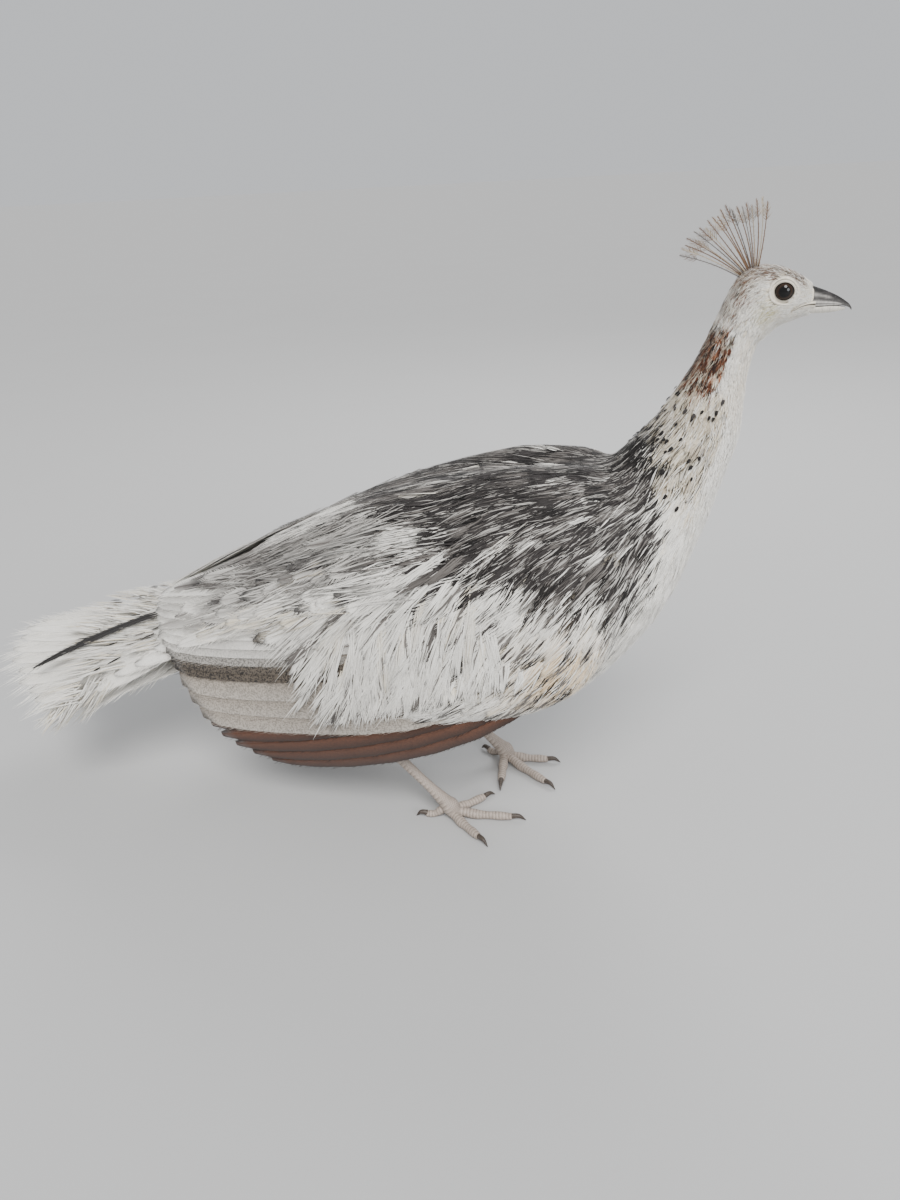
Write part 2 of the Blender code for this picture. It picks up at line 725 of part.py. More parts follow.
def build_tail():
    tail = tail_core()
    tail.name = "tail"
    cut_clear_of_trunk(tail)
    fuse(tail, [feather for tier, feather in tail_vanes()])
    return tail


def crown_point(station):
    """A point on the middle of the crown and the direction straight out from it."""
    rows = [(*back, *front, width) for back, front, width in TRUNK]
    here, ahead = smooth_rows(range(len(TRUNK)), rows, [station, station + 0.1])
    along = np.array([ahead[0] - here[0], 0.0, ahead[1] - here[1]])
    along /= np.linalg.norm(along)
    return np.array([here[0], 0.0, here[1]]), np.array([-along[2], 0.0, along[0]])


def crest_feather(place):
    """A bare shaft with a small flat fan at its tip, turned a little from its neighbours."""
    share = place / (CREST_COUNT - 1)
    draw = random.Random(place)
    first, last = CREST_STATIONS
    surface, outward = crown_point(first + (last - first) * (CREST_INSET + (1 - 2 * CREST_INSET) * share))
    row = (place * 2) % CREST_ROWS - CREST_ROWS // 2
    root = surface + outward * 0.0011 + np.array([0.0, 0.0013 * row, 0.0])
    lean = math.radians(CREST_LEANS[0] + (CREST_LEANS[1] - CREST_LEANS[0]) * share)
    out = np.array([math.cos(lean), 0.060 * row, math.sin(lean)])
    out /= np.linalg.norm(out)
    bend = np.array([-math.sin(lean), 0.0, math.cos(lean)])
    side = np.cross(out, bend)
    turn = math.radians(draw.uniform(-14, 14))
    flat = bend * math.cos(turn) + side * math.sin(turn)
    thin = np.cross(out, flat)
    length = CREST_LENGTH * draw.uniform(0.90, 1.04)
    sections = []
    for mark, half, thick in CREST_FEATHER:
        centre = root + out * length * mark + bend * 0.004 * mark * mark
        points = []
        for across, over in ((1, 1), (-1, 1), (-1, -1), (1, -1)):
            points.append(centre + flat * across * half + thin * over * thick / 2)
        sections.append(np.array(points))
    return loft("crest_feather", sections, "crest")


def crest_ridge():
    """The low ridge of skin on the rear crown that the crest grows from."""
    rings = []
    half_width, height = CREST_RIDGE
    first, last = CREST_STATIONS
    for share in (0.0, 0.08, 0.3, 0.5, 0.7, 0.92, 1.0):
        surface, outward = crown_point(first + (last - first) * share)
        swell = math.sqrt(max(0.08, 1 - (2 * share - 1) ** 4))
        ring = []
        for angle in np.arange(12) / 12 * 2 * math.pi:
            lift = outward * height * swell * math.sin(angle)
            ring.append(surface + lift + np.array([0.0, half_width * swell * math.cos(angle), 0.0]))
        rings.append(np.array(ring))
    return loft("crest", rings, "crest")


def build_crest():
    """Crest feathers fanned from the ridge."""
    crest = crest_ridge()
    cut_clear_of_trunk(crest, HEAD_STATIONS, HEAD_COLUMNS)
    fuse(crest, [crest_feather(place) for place in range(CREST_COUNT)])
    return crest


def hock_of(side_name):
    x, y = FEET[side_name]["at"]
    back = TARSUS_LENGTH * math.cos(TARSUS_SLOPE)
    return np.array([x - back, y * 0.92, ANKLE_HEIGHT + TARSUS_LENGTH * math.sin(TARSUS_SLOPE)])


def build_leg(side_name):
    x, y = FEET[side_name]["at"]
    ankle = np.array([x, y, ANKLE_HEIGHT])
    hock = hock_of(side_name)
    along = (hock - ankle) / np.linalg.norm(hock - ankle)
    rise = np.array([KNEE_FROM_HOCK[0], -0.002 * np.sign(y), KNEE_FROM_HOCK[1]])
    thigh_path = [hock - along * 0.006, hock + rise * 0.12, hock + rise * 0.55, hock + rise]
    thigh = tube("thigh_" + side_name, thigh_path, THIGH_RADII, "white", 14)
    cut_clear_of_trunk(thigh)
    shank_path = [hock + along * 0.006, hock - along * 0.014, hock - along * 0.055]
    shank_path += [ankle + along * 0.016, ankle + along * 0.0075]
    shank = tube("shank_" + side_name, shank_path, SHANK_RADII, "leg", 12)
    clearance = tube("clearance", thigh_path, [radius + GAP * 1.5 for radius in THIGH_RADII], "white", 14)
    boolean(shank, clearance, "DIFFERENCE")
    cut_clear_of_trunk(shank)
    return [thigh, shank, *build_foot(side_name, ankle, along)]


def build_foot(side_name, ankle, along):
    x, y = FEET[side_name]["at"]
    foot = tube(
        "foot_" + side_name,
        [ankle + along * 0.0068, ankle, ankle - along * 0.007 - np.array([0, 0, 0.002])],
        [0.0062, 0.0082, 0.0070],
        "leg",
        12,
    )
    toes, claws = [], []
    for toe_name, (length, claw, start_height, end_height, descent, radius) in TOES.items():
        angle = math.radians(FEET[side_name][toe_name])
        heading = np.array([math.cos(angle), math.sin(angle), 0.0])
        base = np.array([x, y, 0.0])
        stretch = length - claw
        path, radii = [], []
        for mark in np.linspace(0.0, 1.0, 6):
            height = start_height + (end_height - start_height) * min(1.0, mark * descent)
            knuckle = 1.0 + 0.10 * math.cos(mark * 5 * math.pi)
            path.append(base + heading * stretch * mark + np.array([0, 0, height]))
            radii.append(radius * (1 - 0.32 * mark) * knuckle)
        toes.append(tube("toe", path, radii, "leg", 8))
        root = base + heading * (stretch + GAP) + np.array([0, 0, CLAW_HEIGHT])
        bend = root + heading * claw * 0.5 + np.array([0, 0, 0.0006])
        tip = base + heading * (stretch + claw) + np.array([0, 0, CLAW_TIP_HEIGHT])
        claws.append(tube(f"claw_{side_name}_{toe_name}", [root, bend, tip], CLAW_RADII, "horn", 8))
    fuse(foot, toes)
    for solid in [foot, *claws]:
        boolean(solid, ground_cutter(), "DIFFERENCE")
        keep_largest(solid)
    return [foot, *claws]


def ground_cutter():
    shape = bmesh.new()
    bmesh.ops.create_cube(shape, size=1.0)
    mesh = bpy.data.meshes.new("ground")
    shape.to_mesh(mesh)
    shape.free()
    made = bpy.data.objects.new("ground", mesh)
    bpy.context.scene.collection.objects.link(made)
    made.location = (0.0, 0.0, -0.5)
    bpy.context.view_layer.update()
    return made


def centre_on_origin(parts):
    """Moves every part so that the bird's box is centred over the origin, feet on Z = 0."""
    corners = []
    for part in parts:
        points = np.array([vertex.co for vertex in part.data.vertices])
        corners += [points.min(axis=0), points.max(axis=0)]
    low, high = np.min(corners, axis=0), np.max(corners, axis=0)
    shift = np.array([-(low[0] + high[0]) / 2, -(low[1] + high[1]) / 2, -low[2]])
    for part in parts:
        points = np.array([vertex.co for vertex in part.data.vertices]) + shift
        part.data.vertices.foreach_set("co", points.astype(np.float32).ravel())
        part.data.update()


def main():
    clear_scene()
    parts = [build_torso(), build_neck(), build_head()]
    parts += [build_eye(1, "eye_left"), build_eye(-1, "eye_right")]
    parts += build_bill()
    parts += [build_wing(1, "wing_left"), build_wing(-1, "wing_right")]
    parts += [build_tail(), build_crest()]
    parts += build_leg("left") + build_leg("right")
    centre_on_origin(parts)
    for part in parts:
        finish_shading(part)


main()
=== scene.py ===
"""The looks of a life-size pied Indian peahen: skin, coat, head, legs and a plain studio.

Everything is laid out in the bird's own frame, in metres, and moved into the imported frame's place
when its mesh is made. Feathers are solid vanes fringed with blades, and follow a bed: the surface
that they grow from.
"""
import math
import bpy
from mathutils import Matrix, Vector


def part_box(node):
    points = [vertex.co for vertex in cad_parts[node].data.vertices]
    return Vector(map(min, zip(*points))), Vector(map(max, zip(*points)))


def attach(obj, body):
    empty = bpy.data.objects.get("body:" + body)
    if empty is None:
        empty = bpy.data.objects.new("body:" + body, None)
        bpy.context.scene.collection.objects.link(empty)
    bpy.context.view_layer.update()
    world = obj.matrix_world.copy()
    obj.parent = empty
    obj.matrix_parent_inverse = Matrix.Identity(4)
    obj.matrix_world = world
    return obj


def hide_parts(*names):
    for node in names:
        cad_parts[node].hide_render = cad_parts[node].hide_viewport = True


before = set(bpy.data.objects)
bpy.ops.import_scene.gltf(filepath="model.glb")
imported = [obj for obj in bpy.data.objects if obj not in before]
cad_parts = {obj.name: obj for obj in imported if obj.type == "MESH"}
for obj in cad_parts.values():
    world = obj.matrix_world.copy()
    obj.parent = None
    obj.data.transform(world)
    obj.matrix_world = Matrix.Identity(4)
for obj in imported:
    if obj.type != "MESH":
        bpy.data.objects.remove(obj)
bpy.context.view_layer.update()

from types import SimpleNamespace

import bmesh
import bpy
import numpy as np
from mathutils import Matrix

BODY = "root"
SIDES = {"left": 1, "right": -1}
SEEDS = {"wing_left": 31, "wing_right": 32, "tail": 51, "crest": 71, "thigh_left": 81, "thigh_right": 82}

# The bird's own sizes, as the solids have them
BODY_TILT = math.radians(24)
BODY_CENTRE = (-0.020, 0.195)
EYE_CENTRE = (0.2270, 0.0108, 0.4500)
EYE_RADIUS = 0.0074
BILL_BASE_X = 0.2476
TARSUS_LENGTH = 0.113
TARSUS_SLOPE = math.radians(45)
ANKLE_HEIGHT = 0.0125
FEET = {
    "left": {"at": (0.013, 0.047), "outer": 4, "middle": -36, "inner": -84, "hind": 150},
    "right": {"at": (-0.020, -0.049), "outer": -40, "middle": 5, "inner": 48, "hind": 190},
}
# Toes: length with claw, claw, height at the foot and at the claw, how fast it comes down, radius
TOES = {
    "outer": (0.056, 0.012, 0.0070, 0.0034, 2.2, 0.0048),
    "middle": (0.070, 0.012, 0.0070, 0.0034, 2.2, 0.0048),
    "inner": (0.052, 0.012, 0.0070, 0.0034, 2.2, 0.0048),
    "hind": (0.031, 0.009, 0.0120, 0.0024, 1.6, 0.0040),
}
KNEE_FROM_HOCK = (0.070, 0.050)
THIGH_RADII = [0.0085, 0.0145, 0.0230, 0.0260]
SHANK_RADII = [0.0070, 0.0058, 0.0046, 0.0052, 0.0062]

# The trunk, section by section from rump to bill: (back x, z), (front x, z), half width
TRUNK = [
    ((-0.2430, 0.1930), (-0.2290, 0.1600), 0.0240),
    ((-0.2250, 0.2120), (-0.2000, 0.1350), 0.0480),
    ((-0.2000, 0.2330), (-0.1600, 0.1180), 0.0650),
    ((-0.1660, 0.2510), (-0.1180, 0.1050), 0.0780),
    ((-0.1250, 0.2700), (-0.0690, 0.0960), 0.0870),
    ((-0.0780, 0.2890), (-0.0060, 0.0960), 0.0920),
    ((-0.0350, 0.3020), (0.0520, 0.1080), 0.0920),
    ((-0.0050, 0.3090), (0.1060, 0.1430), 0.0870),
    ((0.0250, 0.3130), (0.1480, 0.1930), 0.0780),
    ((0.0560, 0.3150), (0.1660, 0.2260), 0.0670),
    ((0.0850, 0.3190), (0.1775, 0.2570), 0.0540),
    ((0.1120, 0.3240), (0.1880, 0.2860), 0.0410),
    ((0.1310, 0.3420), (0.1970, 0.3170), 0.0325),
    ((0.1485, 0.3610), (0.2050, 0.3450), 0.0265),
    ((0.1600, 0.3790), (0.2065, 0.3670), 0.0215),
    ((0.1715, 0.3985), (0.2075, 0.3895), 0.0172),
    ((0.1815, 0.4210), (0.2120, 0.4125), 0.0152),
    ((0.1880, 0.4375), (0.2160, 0.4165), 0.0156),
    ((0.1955, 0.4545), (0.2192, 0.4200), 0.0160),
    ((0.2040, 0.4628), (0.2232, 0.4236), 0.0163),
    ((0.2142, 0.4652), (0.2270, 0.4264), 0.0160),
    ((0.2258, 0.4634), (0.2322, 0.4288), 0.0148),
    ((0.2366, 0.4586), (0.2378, 0.4310), 0.0122),
    ((0.2431, 0.4543), (0.2428, 0.4324), 0.0097),
    ((BILL_BASE_X, 0.4512), (BILL_BASE_X, 0.4334), 0.0074),
]
TRUNK_ROWS = [(*back, *front, width) for back, front, width in TRUNK]
LAST_STATION = len(TRUNK) - 1
TRUNK_FULLNESS = 2.25

# The wing's lay surface beside the body:
# (distance along the body, centre, half height above it, half height below it, half width)
WING_LAY = [
    (0.160, 0.000, 0.076, 0.085, 0.0730),
    (0.100, -0.004, 0.096, 0.112, 0.0880),
    (0.040, -0.002, 0.106, 0.130, 0.0945),
    (-0.020, 0.003, 0.108, 0.140, 0.0965),
    (-0.080, 0.007, 0.105, 0.143, 0.0920),
    (-0.140, 0.012, 0.099, 0.141, 0.0840),
    (-0.200, 0.018, 0.090, 0.135, 0.0745),
    (-0.260, 0.024, 0.080, 0.125, 0.0640),
    (-0.320, 0.030, 0.070, 0.115, 0.0530),
]
LAY_KEYS = [row[0] for row in WING_LAY][::-1]
LAY_ROWS = [row[1:] for row in WING_LAY][::-1]
WING_FULLNESS_ABOVE = 2.3
WING_FULLNESS_BELOW = 2.5
# The folded wing's rear end: blunt between the corners, longer above, rounded off below
WING_REAR = -0.240
UPPER_CORNER, UPPER_REACH = 0.040, 0.20
LOWER_CORNER, LOWER_ROUNDING = -0.020, 7.0
PRIMARY_CORNER, PRIMARY_ROUNDING = -0.022, 9.5

TAIL_ROOT = (-0.215, 0.172)
TAIL_PITCH = math.radians(9)
TAIL_ARCH = 0.160
TAIL_ROLL = math.radians(9)
FAN_FROM = 0.045
FAN_ROOT = 0.031
FAN_RATE = 0.60

CREST_STATIONS = (19.75, 18.15)
CREST_PLUME_LENGTH = 0.0485
CREST_SHAFT_WIDTH = 0.0009
CREST_SHAFT_THICKNESS = 0.0007
CREST_COUNT = 21
CREST_LEANS = (82, 154)
CREST_ROWS = 5

# How deep the skin lies under the coat, and on the thigh how deep skin and feather roots lie
COAT_DEPTH = 0.0035
HEAD_COAT_DEPTH = 0.0009
THIGH_SKIN_DEPTH = 0.0022
THIGH_ROOT_DEPTH = 0.0006
# Points round the skin and round the bed of a thigh's feathers
SKIN_COLUMNS = 128
THIGH_COLUMNS = 48

# The camera: place, pitch down, turn towards the bird's front, roll and focal length in pixels of
# the 900 x 1200 picture
CAMERA_PLACE = (0.163, -0.6918, 0.530)
CAMERA_PITCH = math.radians(25)
CAMERA_TURN = math.radians(15)
CAMERA_ROLL = math.radians(-3)
FOCAL_PIXELS = 903
PICTURE_HEIGHT = 1200
SENSOR = 36.0


def linear(red, green, blue):
    """A colour given as 0 to 255 on a screen, as the linear values that shaders take."""
    values = np.array([red, green, blue]) / 255
    return np.where(values <= 0.04045, values / 12.92, ((values + 0.055) / 1.055) ** 2.4)


SNOW = linear(240, 237, 230)
CREAM = linear(228, 218, 197)
BEIGE = linear(190, 176, 154)
BUFF = linear(214, 186, 140)
PALE_GREY = linear(196, 192, 186)
SLATE = linear(108, 103, 99)
CHARCOAL = linear(54, 50, 49)
BLACKISH = linear(26, 23, 22)
CHESTNUT = linear(116, 66, 42)
CROWN_BROWN = linear(112, 86, 66)
OLIVE = linear(188, 178, 112)
TAN = linear(158, 143, 125)
PRIMARY_BROWN = linear(104, 72, 56)
BARE_SKIN = linear(226, 219, 204)
LID_DARK = linear(58, 54, 50)
LEG_SKIN = linear(176, 163, 152)
LEG_DARK = linear(120, 106, 96)
HORN = linear(26, 24, 24)
PALE_HORN = linear(206, 201, 190)
CLAW = linear(72, 64, 58)
RUST = linear(158, 108, 78)
STAIN = linear(226, 190, 132)
PUPIL = linear(10, 9, 9)
IRIS = linear(44, 30, 20)


def frame_shift():
    """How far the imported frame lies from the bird's own, read from the left eye's place."""
    low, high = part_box("eye_left")
    return (np.array(low) + np.array(high)) / 2 - np.array(EYE_CENTRE)


SHIFT = frame_shift()


def smooth_rows(keys, rows, at):
    """Rows of numbers given at the keys, read at other places on a smooth curve through them."""
    keys, rows, at = (np.asarray(part, float) for part in (keys, rows, at))
    slopes = np.gradient(rows, keys, axis=0)
    index = np.clip(np.searchsorted(keys, at, side="right") - 1, 0, len(keys) - 2)
    span = (keys[index + 1] - keys[index])[..., None]
    share = (at - keys[index])[..., None] / span
    start, end = rows[index], rows[index + 1]
    rise, fall = slopes[index] * span, slopes[index + 1] * span
    return (
        (2 * share**3 - 3 * share**2 + 1) * start
        + (share**3 - 2 * share**2 + share) * rise
        + (3 * share**2 - 2 * share**3) * end
        + (share**3 - share**2) * fall
    )


def superellipse(angle, fullness):
    """Cosine and sine of an angle, pushed outwards for a fuller outline than an ellipse."""
    cosine, sine = np.cos(angle), np.sin(angle)
    power = 2 / fullness
    return np.sign(cosine) * np.abs(cosine) ** power, np.sign(sine) * np.abs(sine) ** power


def step(low, high, value):
    """0 below low, 1 above high, smooth between; low may be the larger."""
    share = np.clip((np.asarray(value, float) - low) / (high - low), 0, 1)
    return share * share * (3 - 2 * share)


def between(value, start, full, still_full, end):
    """0 below start and above end, 1 from full to still_full, smooth between."""
    return step(start, full, value) * step(end, still_full, value)


def along_vanes(base, blotch, share):
    """Colours for each feather and section: the base's, and the blotch's by its share there."""
    return mix(base[:, None, :], blotch[:, None, :], share)


def hump(value, middle, width):
    """1 at the middle, falling off smoothly on both sides."""
    return np.exp(-(((value - middle) / width) ** 2))


def ramp(ends, share):
    """A value that runs from the first of two to the second."""
    return ends[0] + (ends[1] - ends[0]) * share


def each_of(value, count):
    """A value for each of count feathers, from one value or from as many."""
    return np.broadcast_to(np.asarray(value, float), (count,))


def unit(vectors):
    return vectors / np.maximum(np.linalg.norm(vectors, axis=-1, keepdims=True), 1e-12)


def mix(first, second, share):
    return first + (second - first) * np.asarray(share, float)[..., None]


def wobble(points, size, seed):
    """Smooth random values of about -1 to 1 over space, with features of a size."""
    draw = np.random.default_rng(seed)
    total = np.zeros(points.shape[:-1])
    for _ in range(6):
        direction = unit(draw.normal(size=3)) * 2 * math.pi / (size * draw.uniform(0.8, 2.2))
        total += np.sin(points @ direction + draw.uniform(0, 2 * math.pi))
    return total / 2.6


def body_point(along, side, height):
    """A point in the body's own tilted frame: along the back, to the left, and up."""
    cosine, sine = math.cos(BODY_TILT), math.sin(BODY_TILT)
    x = BODY_CENTRE[0] + along * cosine - height * sine
    z = BODY_CENTRE[1] + along * sine + height * cosine
    return np.stack(np.broadcast_arrays(x, side, z), axis=-1)


def body_place(points):
    """Distance along the body and height above its centre line, for points."""
    cosine, sine = math.cos(BODY_TILT), math.sin(BODY_TILT)
    x, z = points[..., 0] - BODY_CENTRE[0], points[..., 2] - BODY_CENTRE[1]
    return x * cosine + z * sine, z * cosine - x * sine


# Beds

class Bed:
    """A surface that feathers grow from, as a grid. Feathers run towards lower p."""

    def __init__(self, surface, p_range, q_range, counts, wraps=False, flip=False):
        self.p_range, self.q_range, self.wraps, self.flip = p_range, q_range, wraps, flip
        self.p = np.linspace(*p_range, counts[0])
        self.q = np.linspace(*q_range, counts[1], endpoint=not wraps)
        self.step_p, self.step_q = self.p[1] - self.p[0], self.q[1] - self.q[0]
        self.fill(surface(*np.meshgrid(self.p, self.q, indexing="ij")))

    def fill(self, points):
        """Takes new points for the grid and works out normals and tangents."""
        along = np.gradient(points, axis=0) / self.step_p
        if self.wraps:
            across = (np.roll(points, -1, axis=1) - np.roll(points, 1, axis=1)) / (2 * self.step_q)
        else:
            across = np.gradient(points, axis=1) / self.step_q
        normal = unit(np.cross(along, across)) * (-1 if self.flip else 1)
        self.table = np.concatenate([points, normal, along, across], axis=-1)

    def read(self, p, q):
        """Point, normal and tangents at places, running on straight past an end."""
        p, q = np.broadcast_arrays(np.asarray(p, float), np.asarray(q, float))
        rows, columns = self.table.shape[:2]
        place_p = (p - self.p[0]) / self.step_p
        place_q = (q - self.q[0]) / self.step_q
        row = np.clip(np.floor(place_p).astype(int), 0, rows - 2)
        share_p = np.clip(place_p - row, 0, 1)[..., None]
        if self.wraps:
            column = np.floor(place_q).astype(int)
            share_q = (place_q - column)[..., None]
            column, after = column % columns, (column + 1) % columns
            past_q = np.zeros(p.shape)
        else:
            column = np.clip(np.floor(place_q).astype(int), 0, columns - 2)
            share_q = np.clip(place_q - column, 0, 1)[..., None]
            after = column + 1
            past_q = q - np.clip(q, self.q[0], self.q[-1])
        low = self.table[row, column] * (1 - share_q) + self.table[row, after] * share_q
        high = self.table[row + 1, column] * (1 - share_q) + self.table[row + 1, after] * share_q
        values = low * (1 - share_p) + high * share_p
        point, normal, along, across = (values[..., k : k + 3] for k in (0, 3, 6, 9))
        past_p = p - np.clip(p, self.p[0], self.p[-1])
        point = point + along * past_p[..., None] + across * past_q[..., None]
        return point, unit(normal), along, across

    def roots(self, p, q):
        """Places on a flat unwrap of the bed, as shares of its sides."""
        u = (q - self.q_range[0]) / (self.q_range[1] - self.q_range[0]) % 1.0
        v = (p - self.p_range[0]) / (self.p_range[1] - self.p_range[0])
        return np.stack([0.002 + 0.996 * u, 0.002 + 0.996 * np.clip(v, 0, 1)], -1)


def trunk_surface(station, angle):
    """The flesh's surface at a station and an angle round it: 0 at the back, positive to the left."""
    rows = smooth_rows(range(len(TRUNK)), TRUNK_ROWS, station)
    zero = np.zeros(rows.shape[:-1])
    back = np.stack([rows[..., 0], zero, rows[..., 1]], axis=-1)
    front = np.stack([rows[..., 2], zero, rows[..., 3]], axis=-1)
    along, across = superellipse(angle, TRUNK_FULLNESS)
    side = np.stack([zero, rows[..., 4] * across, zero], axis=-1)
    return (back + front) / 2 + (back - front) / 2 * along[..., None] + side


def lay_limits(along):
    """Centre, half heights above and below and half width of the wing's lay surface."""
    rows = smooth_rows(LAY_KEYS, LAY_ROWS, along)
    return (rows[..., k] for k in range(4))


def lay_surface(side):
    """The wing's lay surface as a function of distance along the body and girth up from mid-side."""

    def surface(along, girth):
        degrees = np.linspace(-88, 88, 177)
        out = np.empty(along.shape + (3,))
        for row in range(along.shape[0]):
            place = float(along[row, 0])
            centre, above, below, width = (float(v) for v in lay_limits(np.array(place)))
            half = np.where(degrees > 0, above, below)
            fullness = np.where(degrees > 0, WING_FULLNESS_ABOVE, WING_FULLNESS_BELOW)
            across, up = superellipse(np.radians(degrees), fullness)
            ring = body_point(place, side * width * across, centre + half * up)
            table = np.concatenate([[0], np.cumsum(np.linalg.norm(np.diff(ring, axis=0), axis=1))])
            table -= np.interp(0.0, degrees, table)
            for axis in range(3):
                out[row, :, axis] = np.interp(girth[row], table, ring[:, axis])
        return out

    return surface


def tail_surface(sign):
    """The arched tail, above (sign 1) or below (sign -1), by minus the reach and the spread."""

    def surface(behind, spread):
        reach = -behind
        out = np.array([-math.cos(TAIL_PITCH), 0.0, -math.sin(TAIL_PITCH)])
        up = np.array([-math.sin(TAIL_PITCH), 0.0, math.cos(TAIL_PITCH)])
        angle = sign * spread / TAIL_ARCH
        rise = TAIL_ARCH * (np.cos(angle) - 1)
        across = TAIL_ARCH * np.sin(angle)
        rolled_rise = rise * math.cos(TAIL_ROLL) + across * math.sin(TAIL_ROLL)
        rolled_across = across * math.cos(TAIL_ROLL) - rise * math.sin(TAIL_ROLL)
        root = np.array([TAIL_ROOT[0], 0.0, TAIL_ROOT[1]])
        left = np.array([0.0, 1.0, 0.0])
        return root + out * reach[..., None] + up * rolled_rise[..., None] + left * rolled_across[..., None]

    return surface


# The wings' arms swell the coat. Along the body: how high the swelling's lower edge is, where it fades
# in behind and out in front, and how far the coat stands off the wing
ARM_LOW = [(-0.060, -0.060), (0.056, -0.086), (0.106, -0.076), (0.146, -0.034), (0.170, 0.010)]
ARM_SPAN = (-0.150, -0.050, 0.150, 0.175)
ARM_LIFT = [(-0.16, 0.000), (-0.04, 0.003), (0.056, 0.006), (0.106, 0.0085), (0.150, 0.002)]
MOST_SWELL = 0.055
SWELL_TRIALS = 56


def coat_bed():
    """The trunk swollen over the arms of the wings, so that the coat runs over both."""
    bed = Bed(trunk_surface, (0.0, float(LAST_STATION)), (0.0, 2 * math.pi), (241, 192), wraps=True)
    points, normals = bed.table[..., :3], bed.table[..., 3:6]
    swell = np.zeros(points.shape[:2])
    for reach in np.linspace(0.0, MOST_SWELL, SWELL_TRIALS):
        trial = points + normals * reach
        along, height = body_place(trial)
        centre, above, below, width = lay_limits(along)
        up = np.where(height > centre, (height - centre) / above, (centre - height) / below)
        fullness = np.where(height > centre, WING_FULLNESS_ABOVE, WING_FULLNESS_BELOW)
        inside = (np.abs(trial[..., 1]) / width) ** fullness + up**fullness < 1
        swell = np.where(inside, reach, swell)
    along, height = body_place(points + normals * swell[..., None])
    low = np.interp(along, *zip(*ARM_LOW))
    aside = np.abs(points[..., 1])
    mask = step(-0.010, 0.006, height - low) * between(along, *ARM_SPAN) * step(0.005, 0.030, aside)
    swell = (swell + np.interp(along, *zip(*ARM_LIFT))) * mask
    for _ in range(10):
        swell = (np.roll(swell, 1, 1) + swell * 2 + np.roll(swell, -1, 1)) / 4
        swell[1:-1] = (swell[2:] + swell[1:-1] * 2 + swell[:-2]) / 4
    bed.fill(points + normals * swell[..., None])
    return bed


# Meshes

def shown(name, mesh, material):
    """Links a mesh as a piece that rides on the body."""
    piece = bpy.data.objects.new(name, mesh)
    bpy.context.scene.collection.objects.link(piece)
    if material is not None:
        mesh.materials.append(material)
    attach(piece, BODY)
    return piece


def mesh_from(name, points, loops, totals, tints, patches, places=None, rims=None):
    """A mesh from points, corner lists and their lengths, with point colours and the maps that its
    material reads.

    An edge between two rim points is sharp, so that thin feathers are shaded as flat as they are."""
    mesh = bpy.data.meshes.new(name)
    starts = np.concatenate([[0], np.cumsum(totals)[:-1]])
    mesh.vertices.add(len(points))
    mesh.vertices.foreach_set("co", (points + SHIFT).astype(np.float32).ravel())
    mesh.loops.add(len(loops))
    mesh.loops.foreach_set("vertex_index", loops.astype(np.int32))
    mesh.polygons.add(len(totals))
    mesh.polygons.foreach_set("loop_start", starts.astype(np.int32))
    mesh.polygons.foreach_set("loop_total", np.asarray(totals, np.int32))
    mesh.polygons.foreach_set("use_smooth", np.ones(len(totals), bool))
    bake = mesh.uv_layers.new(name="OFBake")
    bake.data.foreach_set("uv", patches[loops].astype(np.float32).ravel())
    if places is not None:
        vane = mesh.uv_layers.new(name="Vane")
        vane.data.foreach_set("uv", places[loops].astype(np.float32).ravel())
    tint = mesh.color_attributes.new("Tint", "FLOAT_COLOR", "POINT")
    tint.data.foreach_set("color", tints.astype(np.float32).ravel())
    mesh.update(calc_edges=True)
    if rims is not None:
        ends = np.empty(len(mesh.edges) * 2, np.int32)
        mesh.edges.foreach_get("vertices", ends)
        sharp = mesh.attributes.new("sharp_edge", "BOOLEAN", "EDGE")
        sharp.data.foreach_set("value", rims[ends[0::2]] & rims[ends[1::2]])
    mesh.validate()
    return mesh


def grid_faces(rows, columns):
    """Corner lists of the quads of a grid that closes on itself across, row by row."""
    row, column = np.meshgrid(np.arange(rows - 1), np.arange(columns), indexing="ij")
    after = (column + 1) % columns
    quads = np.stack([row * columns + column, row * columns + after, (row + 1) * columns + after,
                      (row + 1) * columns + column], axis=-1)
    return quads.reshape(-1, 4)


# Feathers

def grow(bed, p, q, heading, length, marks, rise, sink, roll=0.0, curl=0.0):
    """Centre lines of feathers that follow a bed from their roots.

    heading is counted from straight back towards higher q, rise is the tip's height off the bed,
    sink the root's depth in it, and curl lifts the last third of the feather further."""
    here_p, here_q = np.array(p, float), np.array(q, float)
    centres, normals = [], []
    last = 0.0
    for mark in marks:
        point, normal, along, across = bed.read(here_p, here_q)
        if mark > last:
            stride = length * (mark - last)
            here_p = here_p - np.cos(heading) * stride / np.linalg.norm(along, axis=-1)
            here_q = here_q + np.sin(heading) * stride / np.linalg.norm(across, axis=-1)
            point, normal, along, across = bed.read(here_p, here_q)
        last = mark
        lift = -sink + (rise + sink) * mark**0.8 + curl * max(0.0, mark - 0.6) ** 2 * 6
        centres.append(point + normal * np.asarray(lift)[..., None])
        normals.append(normal)
    return as_lines(np.stack(centres, 1), np.stack(normals, 1), length, marks, roll)


def grow_between(bed, start, end, marks, lift, bow=0.0, droop=0.0, roll=0.0):
    """Centre lines of large feathers from start to end places (p, q) of a bed, bowed to one side."""
    centres, normals = [], []
    for mark in marks:
        q = ramp((start[1], end[1]), mark) + bow * math.sin(math.pi * mark)
        point, normal, _, _ = bed.read(ramp((start[0], end[0]), mark), q)
        centres.append(point + normal * np.asarray(lift - droop * mark * mark)[..., None])
        normals.append(normal)
    centres = np.stack(centres, 1)
    length = np.linalg.norm(np.diff(centres, axis=1), axis=-1).sum(axis=1)
    return as_lines(centres, np.stack(normals, 1), length, marks, roll)


